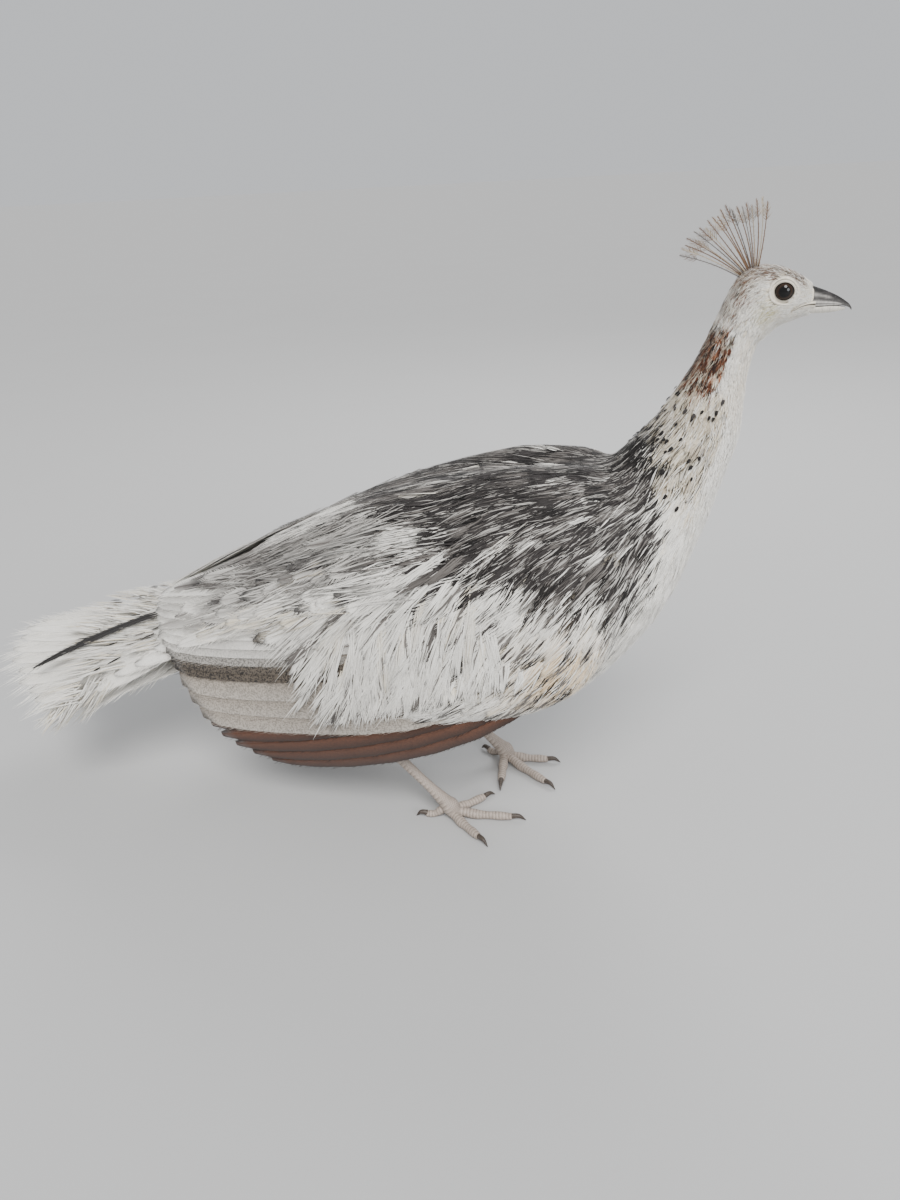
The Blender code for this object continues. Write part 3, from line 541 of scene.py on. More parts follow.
def as_lines(centres, normals, length, marks, roll=0.0):
    """Centre lines with the directions forward, across and off the vane, turned by a roll."""
    count = len(centres)
    forward = unit(np.gradient(centres, axis=1))
    across = unit(np.cross(normals, forward))
    normals = np.cross(forward, across)
    roll = each_of(roll, count)[:, None, None]
    turned = across * np.cos(roll) + normals * np.sin(roll)
    normals = normals * np.cos(roll) - across * np.sin(roll)
    return SimpleNamespace(centre=centres, across=turned, normal=normals, forward=forward,
                           length=each_of(length, count), marks=np.asarray(marks))


def on_line(lines, mark, aside, off):
    """Points beside the centre lines: mark along (past 1 too), distance aside and off the vane."""
    marks = lines.marks
    index = np.clip(np.searchsorted(marks, mark, side="right") - 1, 0, len(marks) - 2)
    share = np.clip((mark - marks[index]) / (marks[index + 1] - marks[index]), 0, 1)[..., None]
    who = np.arange(len(lines.centre))[:, None]

    def read(values):
        return values[who, index] * (1 - share) + values[who, index + 1] * share

    past = (np.maximum(mark - 1, 0) * lines.length[:, None])[..., None]
    point = read(lines.centre) + lines.forward[:, -1:, :] * past
    return point + read(lines.across) * aside[..., None] + read(lines.normal) * off[..., None]


def tiled(count, size, faces):
    """Corner lists of a face template repeated for each of count groups of size points."""
    template = np.array([corner for face in faces for corner in face])
    totals = np.array([len(face) for face in faces])
    loops = (template[None, :] + np.arange(count)[:, None] * size).ravel()
    return loops, np.tile(totals, count)


# Side of the patch that each feather takes up in the OFBake map
FEATHER_PATCH = 0.003


class Plumage:
    """Gathers vanes and blades and turns them into pieces."""

    def __init__(self):
        self.blocks = []
        self.size = 0

    def add(self, points, faces, tints, roots, places, rim):
        """points and tints (n, size, 3 and 4), a face template, patch roots (n, 2), places on the vane
        (n, size, 2), and which of the points are on the rim."""
        count, size = points.shape[:2]
        loops, totals = tiled(count, size, faces)
        spread = places / (np.abs(places).max(axis=(0, 1)) + 1e-9)
        patches = roots[:, None, :] + spread * FEATHER_PATCH / 2
        rims = np.zeros(size, bool)
        rims[list(rim)] = True
        self.blocks.append((points.reshape(-1, 3), loops + self.size, totals, tints.reshape(-1, 4),
                            patches.reshape(-1, 2), places.reshape(-1, 2), np.tile(rims, count)))
        self.size += count * size

    def piece(self, name, material):
        mesh = mesh_from(name, *[np.concatenate(part) for part in zip(*self.blocks)])
        return shown(name, mesh, material)


def vane_faces(sections):
    faces = [(0, 3, 2, 1)]
    for row in range(sections - 1):
        low, high = row * 4, row * 4 + 4
        for corner in range(4):
            after = (corner + 1) % 4
            faces.append((low + corner, low + after, high + after, high + corner))
    last = (sections - 1) * 4
    faces.append((last, last + 1, last + 2, last + 3))
    return faces


def add_vanes(plumage, lines, outline, width, thickness, camber, centre, edge, roots, fleck=0.0):
    """Closed vanes: outline is the share of the half width at each mark; centre and edge are colours
    and fleck how strongly the vane is speckled, for each feather and section or for several at once."""
    count, sections = lines.centre.shape[:2]
    half = each_of(width, count)[:, None] / 2 * outline
    drop = (camber * half)[..., None] * lines.normal
    out = lines.across * half[..., None]
    thick = lines.normal * np.asarray(thickness).reshape(-1, 1, 1) / 2
    points = np.stack([lines.centre + out - drop, lines.centre + thick, lines.centre - out - drop,
                       lines.centre - thick], axis=2)
    tints = np.ones((count, sections, 4, 4))
    tints[:, :, (0, 2), :3] = np.broadcast_to(edge, (count, sections, 3))[:, :, None, :]
    tints[:, :, 1, :3] = centre
    # The underside is painted a fifth darker than the middle, as shade
    tints[:, :, 3, :3] = centre * 0.8
    tints[..., 3] = np.broadcast_to(fleck, (count, sections))[:, :, None]
    places = np.zeros((count, sections, 4, 2))
    places[..., 0] = (lines.length[:, None] * lines.marks[None, :])[:, :, None]
    places[:, :, 0, 1] = half
    places[:, :, 2, 1] = -half
    rim = [row * 4 + corner for row in range(sections) for corner in (0, 2)]
    plumage.add(points.reshape(count, -1, 3), vane_faces(sections), tints.reshape(count, -1, 4), roots,
                places.reshape(count, -1, 2), rim)


# A short blade has three root corners and a tip; a long one has three more corners halfway
BLADE_FACES = [(0, 3, 1), (0, 1, 2), (1, 3, 2), (0, 2, 3)]
BLADE_RIM = (0, 1, 3)
LONG_BLADE_FACES = [(0, 1, 2), (0, 3, 4, 1), (1, 4, 5, 2), (2, 5, 3, 0), (3, 6, 4), (4, 6, 5), (5, 6, 3)]
LONG_BLADE_RIM = (0, 1, 3, 4, 6)


def add_blades(plumage, lines, outline, width, rng, blades, colours, roots, marks, reach, spread, breadth,
               inset, stray, long=False):
    """Tapered blades fanned from the vane's edges.

    blades: how many a side; marks: where the first and the last start; reach: the length of each as a
    share of the feather's; spread: the angle of each in degrees; breadth: a blade's width; inset: the
    share of the half width where they start; stray: how far they stray off the vane. colours: at their
    roots for each feather and section, and at the tips for each feather and blade, or for several."""
    count, total = len(lines.centre), blades * 2
    side = np.tile(np.repeat([1.0, -1.0], blades), (count, 1))
    share = np.tile(np.tile((np.arange(blades) + 0.5) / blades, 2), (count, 1))
    share = np.clip(share + rng.uniform(-0.45, 0.45, share.shape) / blades, 0, 1)
    mark = ramp(marks, share)
    reach = lines.length[:, None] * ramp(reach, share) * rng.uniform(0.65, 1.25, share.shape)
    spread = np.radians(ramp(spread, share)) * rng.uniform(0.7, 1.3, share.shape)
    half = each_of(width, count)[:, None] / 2 * np.interp(mark, lines.marks, outline)
    base = side * half * inset
    drop = 0.00015 - 0.12 * half * inset
    broad = np.asarray(breadth) * rng.uniform(0.7, 1.3, share.shape)
    length = lines.length[:, None]
    tip_off = drop * 0.5 + rng.uniform(-0.4, 1.6, share.shape) * stray * reach
    rings, places = [], []

    def add_corner(at, aside, off, shift=0.0):
        rings.append(on_line(lines, at + shift / length, aside, off))
        places.append(np.stack([at * length, aside], -1))

    ahead = mark + broad * 1.2 / length
    add_corner(np.where(side > 0, mark, ahead), base, drop)
    add_corner(np.where(side > 0, ahead, mark), base, drop)
    add_corner((mark + ahead) / 2, base, drop + broad * 0.35)
    if long:
        middle = mark + np.cos(spread * 0.6) * reach * 0.5 / length
        middle_aside = base + side * np.sin(spread * 1.3) * reach * 0.5
        middle_off = (drop + tip_off) / 2 + stray * reach * 0.5
        for shift, lift in ((-0.4, 0.0), (0.4, 0.0), (0.0, 0.30)):
            add_corner(middle, middle_aside, middle_off + broad * lift, shift * broad * side)
    add_corner(mark + np.cos(spread) * reach / length, base + side * np.sin(spread) * reach, tip_off)
    size = len(rings)
    points = np.stack(rings, axis=2).reshape(count * total, size, 3)
    index = np.clip(np.searchsorted(lines.marks, mark), 0, len(lines.marks) - 1)
    root_tint = np.broadcast_to(colours[0], lines.centre.shape)[np.arange(count)[:, None], index]
    tip_tint = np.broadcast_to(colours[1], (count, total, 3))
    tints = np.zeros((count, total, size, 4))
    tints[:, :, :3, :3] = root_tint[:, :, None, :]
    tints[:, :, 3:, :3] = tip_tint[:, :, None, :]
    tints = tints.reshape(count * total, size, 4)
    places = np.stack(places, axis=2).reshape(count * total, size, 2)
    faces, rim = (LONG_BLADE_FACES, LONG_BLADE_RIM) if long else (BLADE_FACES, BLADE_RIM)
    plumage.add(points, faces, tints, np.repeat(roots, total, axis=0), places, rim)


STRAND_MARKS = np.array([0.0, 0.5, 1.0])


def add_strands(plumage, bed, p, q, heading, length, breadth, low, high, tints, roots, bow=0.0):
    """Single loose barbs: three-sided blades that grow from low over the bed to a fine tip at high,
    bowed sideways by a share of their length. tints: colours at the root and at the tip, (n, 3)."""
    lines = grow(bed, p, q, heading, length, STRAND_MARKS, high, -low)
    count = len(lines.centre)
    centre, across, normal = lines.centre, lines.across, lines.normal
    half = each_of(breadth, count)[:, None] / 2
    aside = (bow * lines.length)[:, None]
    middle = centre[:, 1] + across[:, 1] * aside
    rings = []
    for point, axis, up, size in ((centre[:, 0], across[:, 0], normal[:, 0], 0.75),
                                  (middle, across[:, 1], normal[:, 1], 1.0)):
        rings += [point + axis * half * size, point - axis * half * size, point + up * half * size * 0.7]
    points = np.stack([*rings, centre[:, 2]], axis=1)
    root_tint, tip_tint = tints
    tints = np.zeros((count, 7, 4))
    tints[:, :3, :3] = root_tint[:, None, :]
    tints[:, 3:6, :3] = (root_tint * 0.35 + tip_tint * 0.65)[:, None, :]
    tints[:, 6, :3] = tip_tint
    places = np.zeros((count, 7, 2))
    places[:, 3:6, 0] = lines.length[:, None] / 2
    places[:, 6, 0] = lines.length
    places[:, (0, 3), 1] = half
    places[:, (1, 4), 1] = -half
    plumage.add(points, LONG_BLADE_FACES, tints, roots, places, LONG_BLADE_RIM)


def add_locks(plumage, bed, p, q, heading, length, gather, each, breadth, low, high, tints, roots, rng):
    """Locks of strands: each starts side by side over a width of gather and closes towards one tip."""
    count = len(p)
    who = np.repeat(np.arange(count), each)
    place = np.tile(np.linspace(-1, 1, each), count) + rng.uniform(-0.3, 0.3, len(who))
    _, _, along, across = bed.read(p, q)
    p_stretch, q_stretch = np.linalg.norm(along, axis=-1)[who], np.linalg.norm(across, axis=-1)[who]
    heading, length, gather, low, high = [each_of(part, count)[who]
                                          for part in (heading, length, gather, low, high)]
    off = place * gather / 2
    back = rng.uniform(-0.12, 0.12, len(who)) * length
    own_q = q[who] + (np.cos(heading) * off + np.sin(heading) * back) / q_stretch
    own_p = p[who] + (np.sin(heading) * off - np.cos(heading) * back) / p_stretch
    turned = heading - 0.8 * off / length + rng.normal(0, 0.05, len(who))
    own = length * rng.uniform(0.70, 1.12, len(who))
    high = high + rng.uniform(-0.0005, 0.0007, len(who))
    add_strands(plumage, bed, own_p, own_q, turned, own, breadth * rng.uniform(0.75, 1.3, len(who)),
                low, high, tints, roots[who], bow=place * 0.02 + rng.normal(0, 0.02, len(who)))


def scatter(bed, p_range, length_at, spacing, rng):
    """Roots in staggered rows over a bed, closer together where the feathers are short."""
    q_low, q_high = bed.q_range
    samples = np.linspace(q_low, q_high, 65)
    found_p, found_q = [], []
    p, row = p_range[0], 0
    while p < p_range[1]:
        lengths = length_at(p, samples)
        _, _, along, across = bed.read(np.full(65, p), samples)
        stretch = np.linalg.norm(along, axis=-1)
        girth = np.linalg.norm(across, axis=-1).mean() * (q_high - q_low)
        shortest = lengths.min()
        count = max(6, int(girth / (spacing[1] * shortest)))
        places = (np.arange(count) + 0.5 * (row % 2) + rng.uniform(-0.3, 0.3, count)) / count
        q = q_low + (q_high - q_low) * (places % 1.0)
        stride = spacing[0] * shortest / stretch.max()
        here = np.interp(q, samples, stretch) / stretch.max()
        keep = rng.random(count) < (shortest / length_at(p, q)) ** 2 * here
        found_q.append(q[keep])
        found_p.append(np.full(keep.sum(), p) + rng.uniform(-0.35, 0.35, keep.sum()) * stride)
        p += stride
        row += 1
    return np.concatenate(found_p), np.concatenate(found_q)


# Materials

class Nodes:
    """Short calls for building a material's nodes."""

    def __init__(self, name, roughness, specular, sheen=0.0):
        self.material = bpy.data.materials.new(name)
        self.material.use_nodes = True
        self.tree = self.material.node_tree
        self.shader = self.tree.nodes["Principled BSDF"]
        self.shader.inputs["Roughness"].default_value = roughness
        self.shader.inputs["Specular IOR Level"].default_value = specular
        self.shader.inputs["Sheen Weight"].default_value = sheen

    def link(self, source, socket):
        self.tree.links.new(source, socket)

    def node(self, kind, **values):
        made = self.tree.nodes.new(kind)
        for key, value in values.items():
            setattr(made, key, value)
        return made

    def set(self, socket, value):
        if isinstance(value, bpy.types.NodeSocket):
            self.link(value, socket)
        else:
            socket.default_value = value

    def tint(self):
        made = self.node("ShaderNodeAttribute", attribute_name="Tint")
        return made.outputs["Color"], made.outputs["Alpha"]

    def place(self):
        return self.node("ShaderNodeTexCoord").outputs["Object"]

    def vane(self):
        made = self.node("ShaderNodeUVMap", uv_map="Vane")
        split = self.node("ShaderNodeSeparateXYZ")
        self.link(made.outputs["UV"], split.inputs["Vector"])
        return split.outputs["X"], split.outputs["Y"]

    def math(self, operation, first, second=0.0, third=0.0):
        made = self.node("ShaderNodeMath", operation=operation)
        for socket, value in zip(made.inputs, (first, second, third)):
            self.set(socket, value)
        return made.outputs["Value"]

    def noise(self, vector, scale, detail=2.0, rough=0.5, stretch=None):
        if stretch is not None:
            moved = self.node("ShaderNodeMapping")
            self.link(vector, moved.inputs["Vector"])
            moved.inputs["Scale"].default_value = stretch
            vector = moved.outputs["Vector"]
        made = self.node("ShaderNodeTexNoise")
        self.link(vector, made.inputs["Vector"])
        made.inputs["Scale"].default_value = scale
        made.inputs["Detail"].default_value = detail
        made.inputs["Roughness"].default_value = rough
        return made.outputs["Fac"]

    def spread(self, value, low, high, out_low=0.0, out_high=1.0):
        made = self.node("ShaderNodeMapRange")
        for socket, number in zip(made.inputs, (value, low, high, out_low, out_high)):
            self.set(socket, number)
        return made.outputs["Result"]

    def mix(self, share, first, second, blend="MIX"):
        made = self.node("ShaderNodeMix", data_type="RGBA", blend_type=blend)
        self.set(made.inputs["Factor"], share)
        self.set(made.inputs["A"], first)
        self.set(made.inputs["B"], second)
        return made.outputs["Result"]

    def grey(self, value):
        made = self.node("ShaderNodeCombineColor")
        for socket in made.inputs:
            self.set(socket, value)
        return made.outputs["Color"]

    def shaded(self, colour, value, dark, light):
        """A colour between a dark and a light share of itself, as a value runs from 0.3 to 0.7."""
        shade = self.grey(self.spread(value, 0.3, 0.7, dark, light))
        return self.mix(1.0, colour, shade, "MULTIPLY")

    def bump(self, height, depth):
        made = self.node("ShaderNodeBump")
        self.link(height, made.inputs["Height"])
        made.inputs["Distance"].default_value = depth
        self.link(made.outputs["Normal"], self.shader.inputs["Normal"])

    def colour(self, value):
        self.set(self.shader.inputs["Base Color"], value)
        return self.material


def rgba(colour):
    return (*[float(part) for part in colour], 1.0)


def feather_material(name, barb_width=0.0011, barb_depth=0.00012, contrast=0.22):
    """Tinted vanes with fine barbs slanting from the shaft, dark vermiculation where alpha asks for it."""
    nodes = Nodes(name, roughness=0.72, specular=0.22, sheen=0.15)
    tint, fleck = nodes.tint()
    along, aside = nodes.vane()
    place = nodes.place()
    stray = nodes.math("MULTIPLY", nodes.noise(place, 260.0, 3.0), 0.0016)
    slant = nodes.math("SUBTRACT", nodes.math("SUBTRACT", along, stray), nodes.math("ABSOLUTE", aside))
    barbs = nodes.math("SINE", nodes.math("MULTIPLY", slant, 2 * math.pi / barb_width))
    barbs = nodes.math("MULTIPLY_ADD", barbs, 0.5, 0.5)
    uneven = nodes.noise(place, 900.0, 2.0)
    shade = nodes.spread(barbs, 0.0, 0.45, 1.0 - contrast, 1.0)
    shade = nodes.math("MULTIPLY", shade, nodes.spread(uneven, 0.30, 0.62, 0.90, 1.06))
    colour = nodes.mix(1.0, tint, nodes.grey(shade), "MULTIPLY")
    specks = nodes.noise(place, 620.0, 3.0, 0.65)
    dark = nodes.math("MULTIPLY", nodes.spread(specks, 0.47, 0.56), fleck)
    colour = nodes.mix(dark, colour, rgba(BLACKISH))
    nodes.bump(nodes.math("ADD", barbs, uneven), barb_depth)
    return nodes.colour(colour)


def skin_material(name):
    """Pale bare skin with pores."""
    nodes = Nodes(name, roughness=0.62, specular=0.3)
    tint, _ = nodes.tint()
    place = nodes.place()
    pores = nodes.noise(place, 700.0, 4.0, 0.6)
    broad = nodes.noise(place, 60.0, 3.0)
    colour = nodes.shaded(tint, pores, 0.84, 1.08)
    colour = nodes.mix(nodes.spread(broad, 0.4, 0.7, 0.0, 0.25), colour, rgba(BEIGE))
    nodes.bump(pores, 0.0003)
    return nodes.colour(colour)


def horn_material(name, roughness):
    """Keratin: streaked along its growth, with wear and a soft gloss."""
    nodes = Nodes(name, roughness=roughness, specular=0.3)
    tint, _ = nodes.tint()
    place = nodes.place()
    streaks = nodes.noise(place, 1.0, 4.0, 0.6, stretch=(900.0, 260.0, 260.0))
    wear = nodes.noise(place, 420.0, 3.0)
    colour = nodes.shaded(tint, streaks, 0.78, 1.22)
    colour = nodes.mix(nodes.spread(wear, 0.55, 0.75, 0.0, 0.12), colour, rgba(PALE_GREY))
    uneven = nodes.spread(wear, 0.3, 0.7, roughness - 0.08, roughness + 0.16)
    nodes.set(nodes.shader.inputs["Roughness"], uneven)
    nodes.bump(streaks, 0.00008)
    return nodes.colour(colour)


def leg_material():
    """Scaly leg skin with dusty patches, darker between the scutes where its tint carries painted shade."""
    nodes = Nodes("leg_skin", roughness=0.55, specular=0.35)
    tint, _ = nodes.tint()
    place = nodes.place()
    fine = nodes.noise(place, 1300.0, 3.0, 0.6)
    dust = nodes.noise(place, 190.0, 4.0, 0.6)
    colour = nodes.shaded(tint, fine, 0.86, 1.12)
    colour = nodes.mix(nodes.spread(dust, 0.50, 0.72, 0.0, 0.35), colour, rgba(LEG_DARK))
    nodes.bump(fine, 0.00010)
    return nodes.colour(colour)


def eye_material():
    """A wet dark eye: tinted iris and pupil under a smooth gloss."""
    nodes = Nodes("eye", roughness=0.04, specular=0.30)
    tint, _ = nodes.tint()
    place = nodes.place()
    rays = nodes.noise(place, 1.0, 3.0, 0.6, stretch=(900.0, 60.0, 900.0))
    return nodes.colour(nodes.shaded(tint, rays, 0.75, 1.25))


# Pieces of plain surface

def surface_piece(name, parts, material):
    """One piece from several grids that close on themselves across: (points (rows, columns, 3), colours,
    whether the ends are closed). Each grid has its own strip of the OFBake map."""
    points, tints, patches, loops, totals, offset = [], [], [], [], [], 0
    for number, (grid, colours, capped) in enumerate(parts):
        rows, columns = grid.shape[:2]
        corners = list(grid_faces(rows, columns))
        if capped:
            corners.append(np.arange(columns)[::-1])
            corners.append(np.arange(columns) + (rows - 1) * columns)
        points.append(grid.reshape(-1, 3))
        tint = np.ones((rows, columns, 4))
        tint[..., :3] = colours
        tints.append(tint.reshape(-1, 4))
        u, v = np.meshgrid(np.linspace(0, 1, columns), np.linspace(0, 1, rows))
        patch = np.stack([(number + 0.02 + 0.96 * u) / len(parts), 0.01 + 0.98 * v], -1)
        patches.append(patch.reshape(-1, 2))
        loops += [corner + offset for corner in corners]
        totals += [len(corner) for corner in corners]
        offset += rows * columns
    mesh = mesh_from(name, np.concatenate(points), np.concatenate(loops), np.array(totals),
                     np.concatenate(tints), np.concatenate(patches))
    shape = bmesh.new()
    shape.from_mesh(mesh)
    bmesh.ops.recalc_face_normals(shape, faces=shape.faces)
    shape.to_mesh(mesh)
    shape.free()
    return shown(name, mesh, material)


def tube_rings(path, radii, columns):
    """Rings round a path, (rows, columns, 3), and the angles of their points."""
    path = np.asarray(path, float)
    radii = np.broadcast_to(np.asarray(radii, float), (len(path),))
    direction = unit(np.gradient(path, axis=0))
    level = np.where(np.abs(direction[:, 2:3]) < 0.95, [[0.0, 0.0, 1.0]], [[1.0, 0.0, 0.0]])
    side = unit(np.cross(level, direction))
    rise = np.cross(direction, side)
    angles = np.arange(columns) / columns * 2 * math.pi
    across = np.cos(angles)[None, :, None] * side[:, None, :]
    over = np.sin(angles)[None, :, None] * rise[:, None, :]
    return path[:, None, :] + (across + over) * radii[:, None, None], angles


def resampled(path, values, count):
    """A path and the values along it, smoothed through the given points and read at even lengths."""
    path = np.asarray(path, float)
    keys = np.concatenate([[0], np.cumsum(np.linalg.norm(np.diff(path, axis=0), axis=1))])
    rows = np.column_stack([path, np.asarray(values, float)])
    marks = np.linspace(0, keys[-1], count)
    read = smooth_rows(keys, rows, marks)
    return read[:, :3], read[:, 3:].squeeze(-1), marks / keys[-1]


# What grows where

STATION_KEYS = [0, 2, 4, 6, 8, 9.5, 11, 12.5, 14, 15.5, 16.5, 17.5, 19, 22, 24]
BACK_LENGTHS = [0.060, 0.054, 0.048, 0.040, 0.030, 0.024, 0.018, 0.0125, 0.0090, 0.0070, 0.0062, 0.0054,
                0.0048, 0.0040, 0.0030]
FRONT_LENGTHS = [0.026, 0.030, 0.030, 0.028, 0.024, 0.020, 0.016, 0.0120, 0.0090, 0.0072, 0.0064, 0.0052,
                 0.0045, 0.0038, 0.0028]
# How far round from the back the dark mantle reaches at each station
MANTLE_KEYS = [4.5, 6.0, 7.0, 8.0, 8.7, 9.7, 10.5, 11.5, 12.6, 13.4]
MANTLE_EDGE = [0.20, 0.75, 1.10, 1.55, 2.05, 2.12, 1.95, 1.55, 1.05, 0.45]


def folded(q):
    """How far round from the middle of the back, 0 to pi, on either side."""
    turned = np.asarray(q) % (2 * math.pi)
    return np.minimum(turned, 2 * math.pi - turned)


def coat_length(p, q):
    """A contour feather's length at a place on the trunk."""
    share = step(0.8, 2.2, folded(q))
    back = np.interp(p, STATION_KEYS, BACK_LENGTHS)
    front = np.interp(p, STATION_KEYS, FRONT_LENGTHS)
    return back + (front - back) * share


def pick(rng, count, options, shares):
    """Random colours out of some, one for each feather."""
    table = np.array(options)
    return table[rng.choice(len(table), size=count, p=np.array(shares) / sum(shares))]


def trunk_look(p, q, points, rng):
    """How feathers at places on the trunk are coloured: base, edge, blotch and pale strands; the chance
    of a blotch and its place along the feather; and the chances of pale and of dark strands."""
    count = len(p)
    around = folded(q)
    drift = wobble(points, 0.030, 3)
    fine = wobble(points, 0.012, 4)

    def some(chance):
        return (rng.random(count) < chance)[:, None]

    def painted(colours, chosen, options, shares):
        """The colours, with those of the chosen feathers drawn anew from the options."""
        return np.where(chosen, pick(rng, count, options, shares), colours)

    base = pick(rng, count, [SNOW, CREAM, SNOW * 0.9], [0.66, 0.14, 0.20])
    edge = np.tile(SNOW, (count, 1))
    blotch = pick(rng, count, [CHARCOAL, SLATE, BLACKISH], [0.5, 0.3, 0.2])
    streak, spot = np.full(count, 0.3), np.full(count, 0.70)

    # Charcoal mantle with pale strands, thinning out towards the breast and the flank
    limit = np.interp(p, MANTLE_KEYS, MANTLE_EDGE)
    dark = step(0.26, -0.26, around - limit - 0.16 * drift) * between(p, 4.3, 5.8, 12.0, 13.8)
    sooty = some(dark * 0.92)
    base = painted(base, sooty, [CHARCOAL, BLACKISH, SLATE], [0.53, 0.43, 0.04])
    edge = painted(edge, sooty, [CHARCOAL, SLATE, BLACKISH], [0.50, 0.18, 0.32])
    streak = np.where(sooty[:, 0], 0.17 + 0.14 * fine + 0.16 * step(0.5, 1.4, around), streak)
    light = mix(SNOW, PALE_GREY * 0.72, dark * step(0.0, -0.4, around - limit))
    strand, chance = dark * 0.20, dark * 0.25

    # Beige neck with small black specks, more of them behind and lower down
    neck = between(p, 10.8, 12.0, 14.3, 15.0) * step(2.30, 1.85, around + 0.12 * drift)
    base = painted(base, some(neck * (1 - dark)), [BEIGE, CREAM, PALE_GREY], [0.5, 0.35, 0.15])
    edge = painted(edge, some(neck * (1 - dark)), [CREAM, BEIGE], [0.6, 0.4])
    chance = np.maximum(chance, neck * (0.20 + 0.24 * step(1.4, 0.4, around) + 0.22 * step(13.2, 11.6, p)))
    spot = np.where(neck > 0.3, 0.84, spot)
    blotch = np.where(some(neck), BLACKISH, blotch)

    # Chestnut and black scales on the sides and back of the upper neck
    patch = step(14.1, 14.7, p + 0.30 * drift) * step(17.0, 16.2, p + 0.20 * drift)
    patch = patch * step(1.74, 1.60, around + 0.05 * drift)
    rusty = some(patch * 0.96)
    scales = [CHESTNUT, RUST, BLACKISH, CREAM]
    base = painted(base, rusty, scales, [0.30, 0.20, 0.30, 0.20])
    edge = painted(edge, rusty, scales, [0.34, 0.30, 0.14, 0.22])
    chance = np.maximum(chance, patch * 0.55)
    blotch = np.where(rusty, BLACKISH, blotch)
    streak = np.where(patch > 0.3, 0.04, streak)
    strand = np.maximum(strand, patch * 0.04)

    # The throat and the front of the neck are a little yellow
    front = step(1.65, 2.1, around) * between(p, 13.2, 14.5, 16.5, 18.0)
    base, edge = mix(base, BUFF, front * 0.22), mix(edge, BUFF, front * 0.16)

    # White flank with dark flecks and a yellow stain on the right
    flank = between(p, 3.0, 4.5, 8.8, 10.4) * between(around, 1.0, 1.4, 2.3, 2.75)
    chance = np.maximum(chance, flank * (0.32 + 0.22 * drift))
    stain = hump(p, 7.2, 0.62) * hump(around, 2.05, 0.27) * (points[:, 1] < 0)
    base, edge = mix(base, STAIN, stain * 0.8), mix(edge, STAIN, stain * 0.6)

    # Smooth white breast
    breast = step(2.15, 2.50, around) * between(p, 7.4, 8.4, 12.0, 13.5)
    chance, strand = chance * (1 - breast), strand * (1 - breast)

    # Pale back blotched with charcoal
    back = step(7.4, 5.4, p) * step(1.7, 1.1, around)
    smoky = some(back * np.clip(0.56 + 0.45 * drift, 0, 0.95))
    base = painted(base, smoky, [SLATE, CHARCOAL, PALE_GREY], [0.42, 0.34, 0.24])
    chance = np.maximum(chance, back * 0.35)
    return SimpleNamespace(base=base, edge=edge, blotch=blotch, light=light, chance=np.clip(chance, 0, 1),
                           spot=spot, streak=np.clip(streak, 0, 1), strand=strand)


def plain_look(base, edge_share, blotch, **chances):
    """Feathers of a base colour with paler edges and white strands."""
    count = len(base)
    look = SimpleNamespace(base=base, edge=mix(base, SNOW, edge_share), blotch=blotch,
                           light=np.tile(SNOW, (count, 1)))
    for name, chance in chances.items():
        setattr(look, name, each_of(chance, count))
    return look


def head_look(p, q, points, rng):
    """The head's own pale cream, brown crown and olive cheek."""
    count = len(p)
    around = folded(q)
    drift = wobble(points, 0.010, 8)
    base = pick(rng, count, [SNOW, CREAM], [0.75, 0.25])
    crown = step(1.05, 0.70, around + 0.12 * drift) * between(p, 17.8, 18.6, 22.4, 23.2)
    base = mix(base, pick(rng, count, [CROWN_BROWN, TAN, CREAM], [0.62, 0.26, 0.12]), crown)
    nape = between(p, 16.6, 17.0, 18.6, 20.0) * step(1.6, 1.0, around)
    base = mix(base, BEIGE, nape * 0.4)
    cheek = hump(p, 19.3, 1.1) * hump(around, 1.92, 0.30)
    base = mix(base, OLIVE, cheek * 0.85)
    throat = step(2.2, 2.7, around) * step(19.5, 17.5, p)
    base = mix(base, BUFF, throat * 0.10)
    blotch = pick(rng, count, [CROWN_BROWN, BLACKISH, CHESTNUT], [0.4, 0.4, 0.2])
    return plain_look(base, 0.35, blotch, chance=np.maximum(nape * 0.55, crown * 0.50), spot=0.8,
                      streak=0.4, strand=nape * 0.08)


CONTOUR_MARKS = np.array([0.0, 0.26, 0.52, 0.76, 0.93])
CONTOUR_OUTLINE = np.array([0.30, 0.85, 0.90, 0.56, 0.12])
SMALL_MARKS = np.array([0.0, 0.5, 0.95])
SMALL_OUTLINE = np.array([0.40, 1.0, 0.22])


